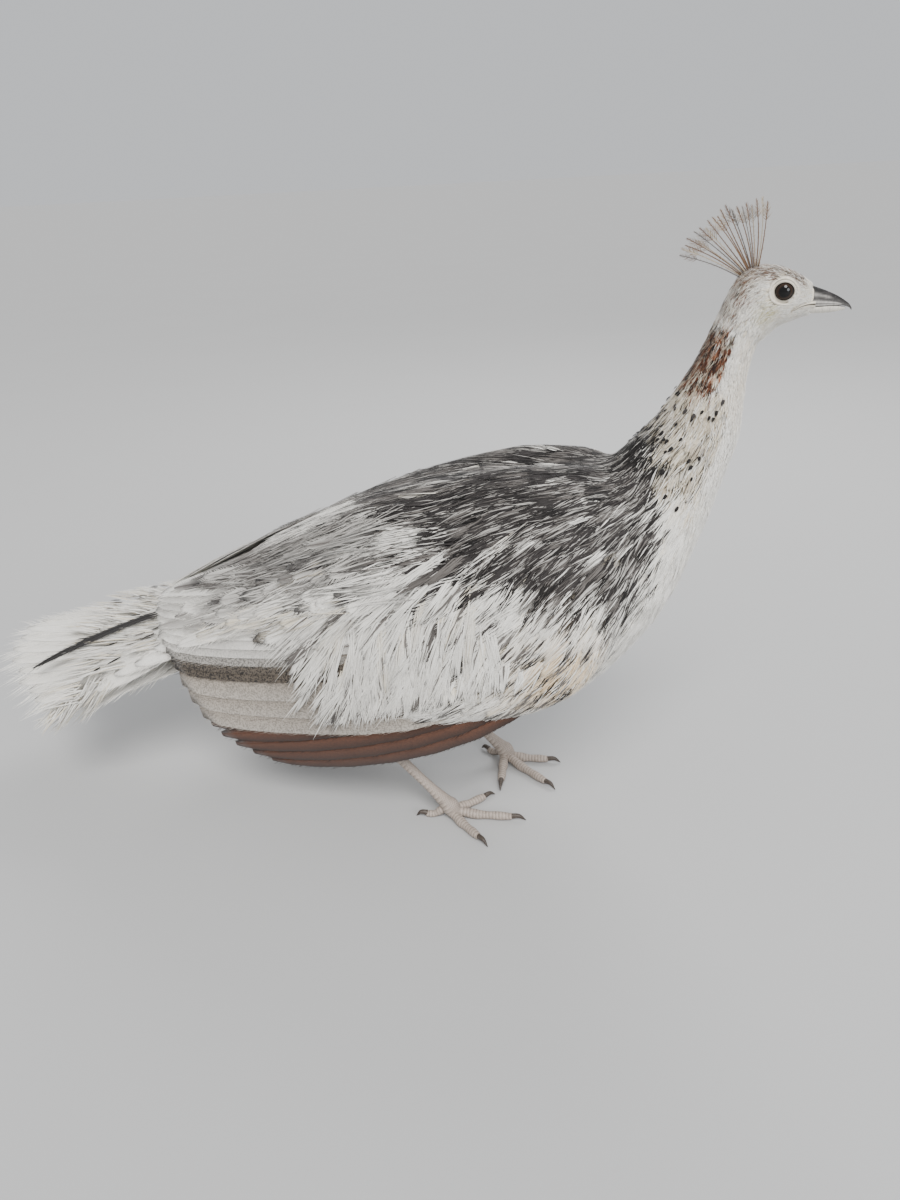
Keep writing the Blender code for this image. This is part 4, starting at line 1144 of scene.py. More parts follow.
def contour_feathers(plumage, bed, p, q, look, rng, length, slim, blades, each, small=False, drift=0.0):
    """Contour feathers in a coat at the roots given, split into hair-like blades round the outer part,
    each with a lock of loose strands over it."""
    count = len(p)
    roots = bed.roots(p, q)
    marks, outline = (SMALL_MARKS, SMALL_OUTLINE) if small else (CONTOUR_MARKS, CONTOUR_OUTLINE)
    length = length * rng.uniform(0.80, 1.25, count)
    width = length * slim * rng.uniform(0.85, 1.15, count)
    heading = rng.normal(0, 0.10, count) + drift
    rise = np.minimum(length * 0.075, 0.0030) * rng.uniform(0.6, 1.4, count)
    lines = grow(bed, p, q, heading, length, marks, rise, 0.0004 if small else 0.0010,
                 roll=rng.normal(0, 0.08, count), curl=rng.uniform(0, 0.02, count) * length)
    tone = rng.uniform(0.93, 1.04, count)[:, None, None]
    blotched = rng.random(count) < look.chance
    where = hump(marks, look.spot[:, None], 0.20) * rng.uniform(0.7, 1.0, (count, 1))
    centre = along_vanes(look.base, look.blotch, where * blotched[:, None])
    centre = centre * tone * np.linspace(0.84, 1.0, len(marks))[None, :, None]
    edge = mix(look.edge[:, None, :], centre, 0.45) * tone
    add_vanes(plumage, lines, outline, width, np.minimum(length * 0.015, 0.0003), 0.18, centre, edge, roots)

    total = blades * 2
    pale = rng.random((count, total, 1)) < look.streak[:, None, None]
    dark = rng.random((count, total, 1)) < look.strand[:, None, None]
    tips = np.where(pale, look.light[:, None, :], look.edge[:, None, :] * tone)
    tips = np.where(dark, CHARCOAL * 0.8, tips) * rng.uniform(0.90, 1.05, (count, total, 1))
    add_blades(plumage, lines, outline, width, rng, blades, (edge, tips), roots, marks=(0.20, 0.94),
               reach=(0.34, 0.20), spread=(17, 5), breadth=np.clip(length * 0.036, 0.00020, 0.00095)[:, None],
               inset=0.80, stray=0.045)

    who = np.repeat(np.arange(count), each)
    total = len(who)
    pale = (rng.random(total) < look.streak[who])[:, None]
    dark = (rng.random(total) < look.strand[who])[:, None]
    spotted = (rng.random(total) < 0.7 * blotched[who])[:, None]
    tip_tint = np.where(pale, look.light[who], look.edge[who])
    tip_tint = np.where(dark | spotted, look.blotch[who], tip_tint)
    shade = rng.uniform(0.86, 1.06, (total, 1))
    root_tint = np.where(pale | dark | spotted, tip_tint * 0.92, look.base[who]) * shade
    breadth = np.clip(length * 0.038, 0.00022, 0.00090)[who]
    add_locks(plumage, bed, p, q, heading, length * 1.05, width * 1.15, each, breadth, 0.0006 + rise * 0.2,
              rise + 0.0006, (root_tint, tip_tint * shade), roots, rng)


def under_wing(points):
    """Whether a root lies where a folded wing hides it."""
    along, height = body_place(points)
    return (along < -0.030) & (height > -0.085) & (height < 0.088) & (np.abs(points[..., 1]) > 0.030)


def near_mouth(points):
    """Whether a root lies on the mouth line."""
    line = gape_line()
    apart = np.hypot(points[:, :1] - line[None, :, 0], points[:, 2:3] - line[None, :, 1])
    return (apart.min(axis=1) < MOUTH_CLEARANCE) & (np.abs(points[:, 1]) > 0.002)


def near_eye(points):
    """Whether a root lies on the bare ring round an eye."""
    return np.hypot(points[:, 0] - EYE_CENTRE[0], points[:, 2] - EYE_CENTRE[2]) < EYE_CLEARANCE


# Pieces of the trunk's coat: stations from and to, how far round from and to, spacing of feathers along
# and across as shares of their length, width as a share of it, blades a side, strands over each feather,
# whether the feathers are the head's small ones, slot, seed
COAT_PLAN = {
    "coat_head": (16.7, 23.9, 0.0, 3.2, (0.32, 0.26), 0.42, 2, 2, True, "head_plumage", 11),
    "coat_neck": (11.2, 16.9, 0.0, 3.2, (0.33, 0.29), 0.42, 1, 4, False, "neck_plumage", 12),
    "coat_mantle": (7.6, 11.4, 0.0, 1.65, (0.26, 0.22), 0.30, 5, 12, False, "plumage", 13),
    "coat_breast": (7.6, 11.4, 1.65, 3.2, (0.28, 0.24), 0.30, 4, 9, False, "plumage", 14),
    "coat_back": (0.2, 7.6, 0.0, 1.55, (0.25, 0.22), 0.30, 6, 10, False, "plumage", 15),
    "coat_belly": (0.2, 7.6, 1.55, 3.2, (0.27, 0.24), 0.30, 5, 6, False, "plumage", 16),
}
# How far from eye and mouth line the head's feathers keep, and where they stop before the bill
EYE_CLEARANCE = 0.0092
MOUTH_CLEARANCE = 0.0016
FACE_END = 0.2462


def build_trunk_coat(bed, material):
    """The coat of head, neck, mantle, back, breast and belly, each a piece."""
    for name, (low, high, near, far, spacing, slim, blades, each, small, slot, seed) in COAT_PLAN.items():
        rng = np.random.default_rng(seed)
        p, q = scatter(bed, (low, high), coat_length, spacing, rng)
        points = bed.read(p, q)[0]
        around = folded(q)
        keep = (around >= near) & (around < far) & ~under_wing(points)
        if small:
            keep &= ~near_eye(points) & ~near_mouth(points) & (points[:, 0] <= FACE_END)
        p, q, points = p[keep], q[keep], points[keep]
        look = (head_look if small else trunk_look)(p, q, points, rng)
        # Flank feathers droop towards the belly as they run back
        side = np.where(q % (2 * math.pi) < math.pi, 1.0, -1.0)
        droop = 0.30 * step(9.5, 7.0, p) * between(folded(q), 0.9, 1.4, 2.0, 2.7) * side
        plumage = Plumage()
        contour_feathers(plumage, bed, p, q, look, rng, coat_length(p, q), slim, blades, each, small, droop)
        if name == "coat_neck":
            add_specks(plumage, bed, p, q, rng)
        piece = plumage.piece(name, material)


def add_specks(plumage, bed, p, q, rng):
    """Small round black specks on the beige sides and back of the lower neck."""
    chance = step(14.7, 14.2, p) * step(2.05, 1.75, folded(q)) * (0.08 + 0.14 * step(13.4, 11.8, p))
    chosen = rng.random(len(p)) < chance
    p, q, count = p[chosen], q[chosen], int(chosen.sum())
    tint = pick(rng, count, [BLACKISH, CHARCOAL], [0.75, 0.25])
    size = rng.uniform(0.0022, 0.0036, count)
    add_strands(plumage, bed, p, q, rng.normal(0, 0.2, count), size * 1.5, size * 0.85, 0.0018, 0.0024,
                (tint, tint), bed.roots(p, q))


# The wings

WING_SPAN_P = (-0.330, 0.170)
WING_SPAN_Q = (-0.125, 0.150)
# Share of its half width that a large feather has at each mark
LONG_MARKS = np.array([0.0, 0.10, 0.24, 0.40, 0.56, 0.72, 0.85, 0.94, 1.0])
LONG_OUTLINE = np.array([0.22, 0.60, 0.92, 1.0, 1.0, 0.98, 0.84, 0.58, 0.20])
BLUNT_OUTLINE = np.array([0.22, 0.60, 0.92, 1.0, 1.0, 1.0, 0.97, 0.86, 0.50])
POINTED_OUTLINE = np.array([0.22, 0.55, 0.86, 0.94, 0.92, 0.82, 0.62, 0.38, 0.12])
PRIMARIES = 5
PRIMARY_WIDTH = 0.027
# Shares of the way from the lowest secondary to the highest; the first three are the broad tan ones
SECONDARIES = np.array([0.02, 0.16, 0.30, *np.linspace(0.40, 1.0, 11)])
BROAD_SECONDARY_WIDTH = 0.042
SECONDARY_WIDTH = 0.030
VANE_THICKNESS = 0.0005
SHAFT_WIDTH = 0.0016
SHAFT_THICKNESS = 0.0009


def long_feathers(plumage, lines, width, centre, edge, rng, blades, roots, reach, spread, fleck=0.0,
                  breadth=0.0009, camber=0.06, outline=LONG_OUTLINE, tips=None):
    """Large feathers with a shaft standing proud of the vane and loose barbs along both edges."""
    centre, edge = [np.broadcast_to(part, lines.centre.shape) for part in (centre, edge)]
    add_vanes(plumage, lines, outline, width, VANE_THICKNESS, camber, centre, edge, roots, fleck)
    tips = edge[:, -1:] if tips is None else tips
    add_blades(plumage, lines, outline, width, rng, blades, (edge, tips), roots, marks=(0.10, 0.985),
               reach=reach, spread=spread, breadth=breadth, inset=0.93, stray=0.012, long=True)
    raised = SimpleNamespace(**vars(lines))
    raised.centre = lines.centre + lines.normal * (VANE_THICKNESS * 0.65)
    taper = np.linspace(1.0, 0.10, len(lines.marks))
    shaft = centre * 0.85
    add_vanes(plumage, raised, taper, SHAFT_WIDTH, SHAFT_THICKNESS, 0.0, shaft, shaft, roots)


def build_wing(side, name, material):
    """One folded wing: a piece of primaries and secondaries, and one of the coverts over them."""
    bed = Bed(lay_surface(side), WING_SPAN_P, WING_SPAN_Q, (126, 90), flip=side > 0)
    rng = np.random.default_rng(SEEDS[name])
    flight = Plumage()
    add_primaries(flight, bed, rng)
    add_secondaries(flight, bed, rng)
    piece = flight.piece(name + "_flight", material)
    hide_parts(name)

    coverts = Plumage()
    for row in COVERT_ROWS:
        add_hanging_rows(coverts, bed, rng, *row)
    add_broad_coverts(coverts, bed, rng)
    piece = coverts.piece(name + "_coverts", material)
    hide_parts(name)


def add_primaries(flight, bed, rng):
    """Brown primaries along the wing's lower edge, the uppermost pale and speckled towards the front."""
    count, share = PRIMARIES, np.linspace(0, 1, PRIMARIES)
    root_p, root_q = ramp((0.062, 0.046), share), ramp((-0.072, -0.036), share)
    tip_q = ramp((-0.082, -0.030), share)
    tip_p = WING_REAR + PRIMARY_ROUNDING * (tip_q - PRIMARY_CORNER) ** 2 + rng.uniform(0.0, 0.003, count)
    lines = grow_between(bed, (root_p, root_q), (tip_p, tip_q), LONG_MARKS, 0.0003 + 0.0030 * share,
                         bow=-0.016 * (1 - share), roll=0.09)
    centre = pick(rng, count, [PRIMARY_BROWN, mix(PRIMARY_BROWN, CHESTNUT, 0.4)], [0.6, 0.4])[:, None, :]
    centre = centre * np.linspace(1.1, 0.80, len(LONG_MARKS))[None, :, None]
    upper = (share > 0.80)[:, None, None] * step(0.85, 0.55, LONG_MARKS)[None, :, None]
    centre = centre + (mix(PALE_GREY, SNOW, 0.4) - centre) * upper
    dark_edge = mix(PRIMARY_BROWN, BLACKISH, 0.8)
    edge = dark_edge + (SNOW * 0.9 - dark_edge) * upper
    long_feathers(flight, lines, PRIMARY_WIDTH, centre, edge, rng, 60, bed.roots(root_p, root_q),
                  reach=(0.035, 0.03), spread=(18, 20), fleck=0.25 + 0.3 * upper[..., 0])


def add_secondaries(flight, bed, rng):
    """Three broad tan secondaries lie lowest, then dark netted ones, then pale ones with grey blotches."""
    share = SECONDARIES
    root_p, root_q, tip_q = 0.020 - 0.006 * share, -0.058 + 0.136 * share, -0.014 + 0.126 * share
    below, above = np.maximum(0, LOWER_CORNER - tip_q), np.maximum(0, tip_q - UPPER_CORNER)
    tip_p = WING_REAR + LOWER_ROUNDING * below**2 - UPPER_REACH * above
    tip_p = tip_p + rng.uniform(0.0, 0.003, len(share))
    lines = grow_between(bed, (root_p, root_q), (tip_p, tip_q), LONG_MARKS, 0.0036 + 0.0022 * share,
                         bow=-0.003, roll=0.07)
    marks = LONG_MARKS[None, :, None]
    low, high = step(0.40, 0.30, share)[:, None, None], step(0.45, 0.62, share)[:, None, None]
    middle = 1 - low - high
    tan = mix(TAN, PALE_GREY, 0.25) * (0.92 + 0.10 * np.sin(marks * 9))
    dark = mix(CHARCOAL, TAN, 0.50) * (1.05 - 0.15 * marks)
    blotches = step(0.1, 0.75, wobble(lines.centre, 0.034, 5))[..., None]
    pale = PALE_GREY * 0.95 + (SNOW - PALE_GREY) * (0.5 + 0.5 * np.sin(share * 40))[:, None, None]
    pale = pale + (SLATE - pale) * blotches * 0.85
    centre = tan * low + dark * middle + pale * high
    edge = mix(tan, SNOW, 0.25) * low + dark * 0.6 * middle + (SNOW + (pale - SNOW) * 0.35) * high
    fleck = (0.42 * low + 0.95 * middle + 0.10 * high)[..., 0]
    width = np.where(share < 0.35, BROAD_SECONDARY_WIDTH, SECONDARY_WIDTH)
    long_feathers(flight, lines, width, centre, edge, rng, 80, bed.roots(root_p, root_q),
                  reach=(0.045, 0.045), spread=(14, 16), fleck=fleck, outline=BLUNT_OUTLINE)


# Rows of loose white feathers: root along from and to, girth from and to, rows, feathers in a row,
# length, width, lift at the root and the tip, chance of a dark one
COVERT_ROWS = [
    ((-0.060, 0.010), (-0.034, 0.006), 4, 7, 0.056, 0.011, 0.0056, 0.0068, 0.10),
    ((-0.080, 0.062), (-0.036, 0.062), 13, 14, 0.058, 0.0056, 0.0062, 0.0100, 0.05),
]
COVERT_MARKS = np.array([0.0, 0.14, 0.36, 0.60, 0.80, 0.93])
COVERT_OUTLINE = np.array([0.25, 0.70, 0.95, 0.90, 0.60, 0.20])
COVERT_THICKNESS = 0.0004
# How far the loose feathers turn downwards at places along the wing, and where they end
HANG = [(-0.17, 0.20), (-0.11, 0.50), (-0.05, 0.95), (0.06, 1.02)]
HANG_END = -0.044
HANGING_STRANDS = 11
BROAD_ROWS = 9
BROAD_COLUMNS = 8
BROAD_STRANDS = 5
BROAD_COVERT_LENGTH = 0.100
BROAD_COVERT_WIDTH = 0.017


def add_hanging_rows(coverts, bed, rng, along, girth, rows, columns, long, wide, low, high, dark_chance):
    """Rows of loose white feathers that hang over the wing, each under a lock of strands."""
    for row in range(rows):
        share = row / (rows - 1)
        p = ramp(along, share) + rng.uniform(-0.006, 0.006, columns)
        q = np.linspace(*girth, columns) + (row % 2) * 0.5 * (girth[1] - girth[0]) / columns
        q = q + rng.uniform(-0.003, 0.003, columns)
        turn = np.interp(p, *np.transpose(HANG)) * (1 + 0.20 * rng.normal(0, 1, columns))
        turn = turn * (0.30 + 0.70 * step(0.062, 0.030, q))
        room = np.maximum(q - HANG_END, 0.010) / np.maximum(np.sin(turn), 0.2)
        length = np.minimum(long * rng.uniform(0.75, 1.20, columns), room)
        width = np.minimum(wide * rng.uniform(0.8, 1.2, columns), length * 0.30)
        rise = low + (high - low) * (0.45 + 0.55 * share) + rng.uniform(-0.0008, 0.0008, columns)
        root_lift = low * (0.7 + 0.3 * share)
        # Some are missing, so that the dark below shows between the locks
        kept = rng.random(columns) < 1 - 0.30 * between(q, -0.02, 0.02, 0.050, 0.064)
        p, q, turn, length, width, rise = [part[kept] for part in (p, q, turn, length, width, rise)]
        count, roots = len(p), bed.roots(p, q)
        base = pick(rng, count, [SNOW, CREAM, SNOW * 0.88], [0.66, 0.14, 0.20])
        dark = (rng.random(count) < dark_chance)[:, None]
        base = np.where(dark, pick(rng, count, [CHARCOAL, SLATE], [0.6, 0.4]), base)
        pale = np.where(dark, SLATE, SNOW * 0.98)
        lines = grow(bed, p, q, -turn, length, COVERT_MARKS, rise, -root_lift,
                     roll=rng.normal(0.06, 0.08, count), curl=rng.uniform(0, 0.010, count) * length)
        edge = ((pale + base * 0.5) / 1.5)[:, None, :]
        add_vanes(coverts, lines, COVERT_OUTLINE, width, COVERT_THICKNESS, 0.15, base[:, None, :] * 0.94,
                  edge, roots)
        who = np.repeat(np.arange(count), HANGING_STRANDS)
        tone = rng.uniform(0.84, 1.04, (len(who), 1))
        deep = rng.random((len(who), 1)) < 0.07
        tints = [np.where(deep, SLATE, part[who]) * tone for part in (base, pale)]
        add_locks(coverts, bed, p, q, -turn, length * 1.08, width * 1.2, HANGING_STRANDS, 0.0012,
                  root_lift + 0.0008, rise + 0.0010, tints, roots, rng)


def add_broad_coverts(coverts, bed, rng):
    """Broad feathers over the wing's upper half: white below, smoky at tips and edges above."""
    columns = BROAD_COLUMNS
    for row in range(BROAD_ROWS):
        share = row / (BROAD_ROWS - 1)
        p = -0.130 + 0.150 * share + rng.uniform(-0.012, 0.012, columns)
        q = np.linspace(0.060 - 0.010 * share, 0.118, columns) + (row % 2) * 0.004
        q = q + rng.uniform(-0.002, 0.002, columns)
        upper, roots = step(0.060, 0.090, q)[:, None], bed.roots(p, q)
        length = BROAD_COVERT_LENGTH * rng.uniform(0.80, 1.10, columns) * (1 - 0.25 * share)
        rise = 0.0070 + 0.0040 * share + rng.uniform(-0.0008, 0.0008, columns)
        rise = rise * (0.45 + 0.55 * step(0.120, 0.095, q))
        lines = grow(bed, p, q, rng.normal(0.0, 0.09, columns) - 0.05, length, LONG_MARKS, rise,
                     -0.0062 + 0.0060 * share, roll=rng.normal(0.08, 0.07, columns))
        low_base = pick(rng, columns, [mix(PALE_GREY, SNOW, 0.6), CREAM * 0.95, SNOW * 0.97], [0.3, 0.2, 0.5])
        high_base = pick(rng, columns, [PALE_GREY * 0.78, SLATE, mix(SLATE, PALE_GREY, 0.5), SNOW * 0.80],
                         [0.32, 0.30, 0.32, 0.06])
        base = low_base + (high_base - low_base) * (rng.random((columns, 1)) < 0.20 + 0.8 * upper)
        smoke = pick(rng, columns, [CHARCOAL, BLACKISH, SLATE * 0.7], [0.5, 0.3, 0.2])
        smoky = rng.random((columns, 1)) < 0.12 + 0.74 * upper
        middle = rng.uniform(0.35, 1.05, (columns, 1))
        where = hump(LONG_MARKS, middle, rng.uniform(0.12, 0.30, (columns, 1)))
        where = where * smoky * rng.uniform(0.75, 1.0, (columns, 1))
        centre = along_vanes(base, smoke, where)
        edge_share = np.clip(where * 1.3 + 0.5 * (rng.random((columns, 1)) < 0.35 * upper), 0, 1)
        edge = along_vanes(mix(base, SNOW * 0.97, 0.45), smoke, edge_share)
        width = BROAD_COVERT_WIDTH * rng.uniform(0.80, 1.25, columns)
        long_feathers(coverts, lines, width, centre, edge, rng, 34, roots, reach=(0.12, 0.10),
                      spread=(14, 22), fleck=where * 0.7, breadth=0.0010, camber=0.10,
                      outline=POINTED_OUTLINE)
        who = np.repeat(np.arange(columns), BROAD_STRANDS)
        tone = rng.uniform(0.88, 1.04, (len(who), 1))
        tints = (centre[who, 3] * tone, edge[who, 6] * tone)
        add_locks(coverts, bed, p - 0.012, q, rng.normal(-0.05, 0.08, columns), length * 0.75, 0.014,
                  BROAD_STRANDS, 0.0010, 0.0066 + 0.0030 * share, rise + 0.0012, tints, roots, rng)


# The tail

TAIL_SPAN_P = (-0.300, 0.020)
TAIL_SPAN_Q = (-0.200, 0.200)
TAIL_FEATHERS = 9
TAIL_START = 0.046
TAIL_FEATHER_LENGTH = 0.219
TAIL_FEATHER_WIDTH = 0.034
DARK_FEATHER_WIDTH = 0.0085
# Coverts, five rows over the fan and three under it: start behind the tail's root, length, width, how
# many, share of the fan, lift, droop
TAIL_COVERT_ROWS = [
    (0.044, 0.124, 0.026, 14, 0.95, 0.0062, 0.002),
    (0.036, 0.112, 0.025, 13, 0.95, 0.0086, 0.001),
    (0.024, 0.096, 0.025, 13, 1.00, 0.0120, 0.000),
    (0.010, 0.082, 0.024, 12, 1.05, 0.0160, 0.000),
    (-0.006, 0.066, 0.024, 12, 1.10, 0.0185, 0.000),
    (0.040, 0.100, 0.024, 13, 0.90, -0.0150, -0.003),
    (0.024, 0.082, 0.022, 12, 0.95, -0.0180, -0.003),
    (0.006, 0.064, 0.020, 11, 1.00, -0.0200, -0.002),
]
# Where the coverts and the dark feather show, white locks, dark dashes and tufts are laid on: how many
TAIL_LOCKS = 90
TAIL_DASHES = 30
TAIL_TUFTS = 64
TAIL_LOCK_STRANDS = 9
# Height of the topmost coverts over the bed at reaches behind the tail's root
TAIL_TOP = ([0.05, 0.09, 0.13, 0.17, 0.20], [0.0190, 0.0165, 0.0125, 0.0085, 0.0040])


def fan(share, reach):
    """Spread of a shaft at a share of the fan and a reach behind the tail's root."""
    return share * (FAN_ROOT + FAN_RATE * np.maximum(0.0, reach - FAN_FROM))


def build_tail(material):
    """The half open fan, and in a piece of its own everything that covers it."""
    bed = Bed(tail_surface(1), TAIL_SPAN_P, TAIL_SPAN_Q, (65, 81))
    rng = np.random.default_rng(SEEDS["tail"])
    tail = Plumage()
    add_fan(tail, bed, rng)
    piece = tail.piece("tail_fan", material)
    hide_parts("tail")

    coverts = Plumage()
    add_tail_coverts(coverts, bed, rng)
    add_dark_feather(coverts, bed, rng)
    add_tail_locks(coverts, bed, rng)
    piece = coverts.piece("tail_coverts", material)
    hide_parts("tail")


def add_fan(tail, bed, rng):
    """Nine white feathers on each side, the middle pair on top and the outermost greyer."""
    place = np.tile(np.arange(TAIL_FEATHERS), 2)
    side = np.repeat([1.0, -1.0], TAIL_FEATHERS)
    share = place / (TAIL_FEATHERS - 1)
    length = TAIL_FEATHER_LENGTH * (1 - 0.38 * share**1.6) + rng.uniform(-0.008, 0.0, len(place))
    across = side * (place + 0.5) / TAIL_FEATHERS * 0.90
    begin = (np.full(len(place), -TAIL_START), fan(across, TAIL_START))
    end = (-(TAIL_START + length), fan(across, TAIL_START + length))
    lift = -0.0008 - place * 0.00135 + 0.0006 * (side > 0)
    lines = grow_between(bed, begin, end, LONG_MARKS, lift)
    centre = np.where((place > 6)[:, None, None], mix(SNOW, PALE_GREY, 0.6), SNOW)
    long_feathers(tail, lines, TAIL_FEATHER_WIDTH, centre, SNOW, rng, 90, bed.roots(*begin),
                  reach=(0.10, 0.13), spread=(16, 22), breadth=0.0010, outline=POINTED_OUTLINE)


def add_tail_coverts(coverts, bed, rng):
    """Rows of soft white feathers over and under the fan, some with a dark dash."""
    for start, long, wide, columns, fan_share, off, droop in TAIL_COVERT_ROWS:
        across = np.linspace(-fan_share, fan_share, columns) + rng.uniform(-0.03, 0.03, columns)
        length = long * rng.uniform(0.88, 1.08, columns) * (1 - 0.22 * np.abs(across) ** 1.5)
        begin = (rng.uniform(-0.004, 0.004, columns) - start, fan(across, start) * 1.1)
        end = (begin[0] - length, fan(across, start + length) * 1.02)
        lines = grow_between(bed, begin, end, COVERT_MARKS, off + rng.uniform(-0.0012, 0.0012, columns),
                             droop=droop, roll=rng.normal(0, 0.06, columns))
        base = pick(rng, columns, [SNOW, CREAM, PALE_GREY], [0.70, 0.12, 0.18])
        dashed = rng.random(columns) < (0.40 if off > 0 else 0.10)
        blotch = pick(rng, columns, [CHARCOAL, SLATE], [0.6, 0.4])
        centre = along_vanes(base, blotch, hump(COVERT_MARKS, 0.70, 0.16) * dashed[:, None] * 0.85)
        edge = mix(SNOW * 0.98, centre, 0.25)
        roots = bed.roots(*begin)
        add_vanes(coverts, lines, COVERT_OUTLINE, wide, COVERT_THICKNESS, 0.20, centre, edge, roots)
        add_blades(coverts, lines, COVERT_OUTLINE, wide, rng, 40, (edge, SNOW), roots, marks=(0.12, 0.985),
                   reach=(0.12, 0.14), spread=(22, 16), breadth=0.0008, inset=0.88, stray=0.03, long=True)


def add_dark_feather(coverts, bed, rng):
    """One narrow dark feather that lies over the coverts, slanting to the right."""
    begin, end = [(np.array([-reach]), np.array([fan(-share, reach)]))
                  for reach, share in ((0.020, 0.10), (0.210, 0.46))]
    lines = grow_between(bed, begin, end, LONG_MARKS, 0.0230, bow=0.004, droop=0.0145)
    long_feathers(coverts, lines, DARK_FEATHER_WIDTH, BLACKISH * 1.4, BLACKISH, rng, 40,
                  bed.roots(*begin), reach=(0.06, 0.05), spread=(8, 12), tips=CHARCOAL)


def add_tail_locks(coverts, bed, rng):
    """Loose white locks and dark dashes where the coverts show behind the wings, and tufts at the sides."""

    def white_tints(count, shares, darkest):
        tint = pick(rng, count, [SNOW, CREAM, PALE_GREY], shares) * rng.uniform(darkest, 1.02, (count, 1))
        return tint, tint

    count, each = TAIL_LOCKS, TAIL_LOCK_STRANDS
    p, share = rng.uniform(-0.165, -0.055, count), rng.uniform(-0.95, 0.95, count)
    q, top = fan(share, -p), np.interp(-p, *TAIL_TOP)
    tints = white_tints(count * each, [0.72, 0.16, 0.12], 0.86)
    add_locks(coverts, bed, p, q, share * 0.4, rng.uniform(0.032, 0.052, count), 0.014, each, 0.0012,
              top * 0.55, top + 0.0012, tints, bed.roots(p, q), rng)
    count = TAIL_DASHES
    p, share = rng.uniform(-0.165, -0.070, count), rng.uniform(-0.90, 0.70, count)
    q, top = fan(share, -p), np.interp(-p, *TAIL_TOP) + 0.0016
    tone = pick(rng, count, [CHARCOAL, SLATE, BLACKISH], [0.5, 0.2, 0.3])
    add_strands(coverts, bed, p, q, share * 0.5, rng.uniform(0.008, 0.017, count), 0.0022, top, top,
                (tone, tone), bed.roots(p, q))
    count = TAIL_TUFTS
    for side, longest in ((1.0, 0.6), (-1.0, 1.0)):
        p = rng.uniform(-0.175, -0.050, count)
        q = fan(side * rng.uniform(0.72, 1.02, count), -p)
        tints = white_tints(count * each, [0.75, 0.15, 0.10], 0.88)
        low = rng.uniform(-0.014, 0.008, count)
        length = rng.uniform(0.028, 0.044, count) * longest
        add_locks(coverts, bed, p, q, side * rng.uniform(0.25, 0.95, count), length, 0.012, each, 0.0013,
                  low, low - 0.010, tints, bed.roots(p, q), rng)


# The crest

def crown_point(station):
    """A point on the middle of the crown, and the direction out from it."""
    here, ahead = smooth_rows(range(len(TRUNK)), TRUNK_ROWS, [station, station + 0.1])
    along = unit(np.array([ahead[0] - here[0], 0.0, ahead[1] - here[1]]))
    return np.array([here[0], 0.0, here[1]]), np.array([-along[2], 0.0, along[0]])


def build_crest(material):
    """Bare shafts with sparse barbs low down and a loose fan at each tip."""
    rng = np.random.default_rng(SEEDS["crest"])
    marks = np.linspace(0, 1, 9)
    centres, normals, lengths = [], [], []
    for place in range(CREST_COUNT):
        share = place / (CREST_COUNT - 1)
        surface, outward = crown_point(ramp(CREST_STATIONS, 0.14 + 0.72 * share))
        row = (place * 2) % CREST_ROWS - CREST_ROWS // 2
        root = surface - outward * 0.0012 + np.array([0.0, 0.0012 * row, 0.0])
        lean = math.radians(ramp(CREST_LEANS, share))
        out = unit(np.array([math.cos(lean), 0.060 * row, math.sin(lean)]))
        bend = np.array([-math.sin(lean), 0.0, math.cos(lean)])
        long = CREST_PLUME_LENGTH * rng.uniform(0.86, 0.99)
        wave = rng.uniform(-0.0010, 0.0010)
        points = [root + out * long * m + bend * (0.004 * m * m + wave * math.sin(3 * m)) for m in marks]
        centres.append(points)
        turn = math.radians(rng.uniform(-30, 30))
        flat = bend * math.cos(turn) + np.cross(out, bend) * math.sin(turn)
        normals.append([np.cross(out, flat)] * len(marks))
        lengths.append(long)
    lines = as_lines(np.array(centres), np.array(normals), lengths, marks)
    shaft = pick(rng, CREST_COUNT, [CROWN_BROWN, BEIGE, TAN, SLATE], [0.35, 0.3, 0.2, 0.15])[:, None, :]
    tips = pick(rng, CREST_COUNT, [TAN, CROWN_BROWN, BEIGE, CHARCOAL], [0.35, 0.3, 0.2, 0.15])[:, None, :]
    crest = Plumage()
    roots = np.stack([np.linspace(0.02, 0.98, CREST_COUNT), np.full(CREST_COUNT, 0.5)], -1)
    add_vanes(crest, lines, np.linspace(1.0, 0.5, len(marks)), CREST_SHAFT_WIDTH, CREST_SHAFT_THICKNESS,
              0.0, shaft, shaft * 0.9, roots)
    even = np.ones(len(marks))
    add_blades(crest, lines, even, 0.0006, rng, 8, (shaft, tips), roots, marks=(0.04, 0.70),
               reach=(0.045, 0.045), spread=(30, 34), breadth=0.00022, inset=0.6, stray=0.10, long=True)
    add_blades(crest, lines, even, 0.0006, rng, 13, (shaft, tips), roots, marks=(0.72, 0.97),
               reach=(0.13, 0.055), spread=(40, 16), breadth=0.00042, inset=0.6, stray=0.04, long=True)
    piece = crest.piece("crest_plumes", material)
    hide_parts("crest")


# Skin, eyes and bill

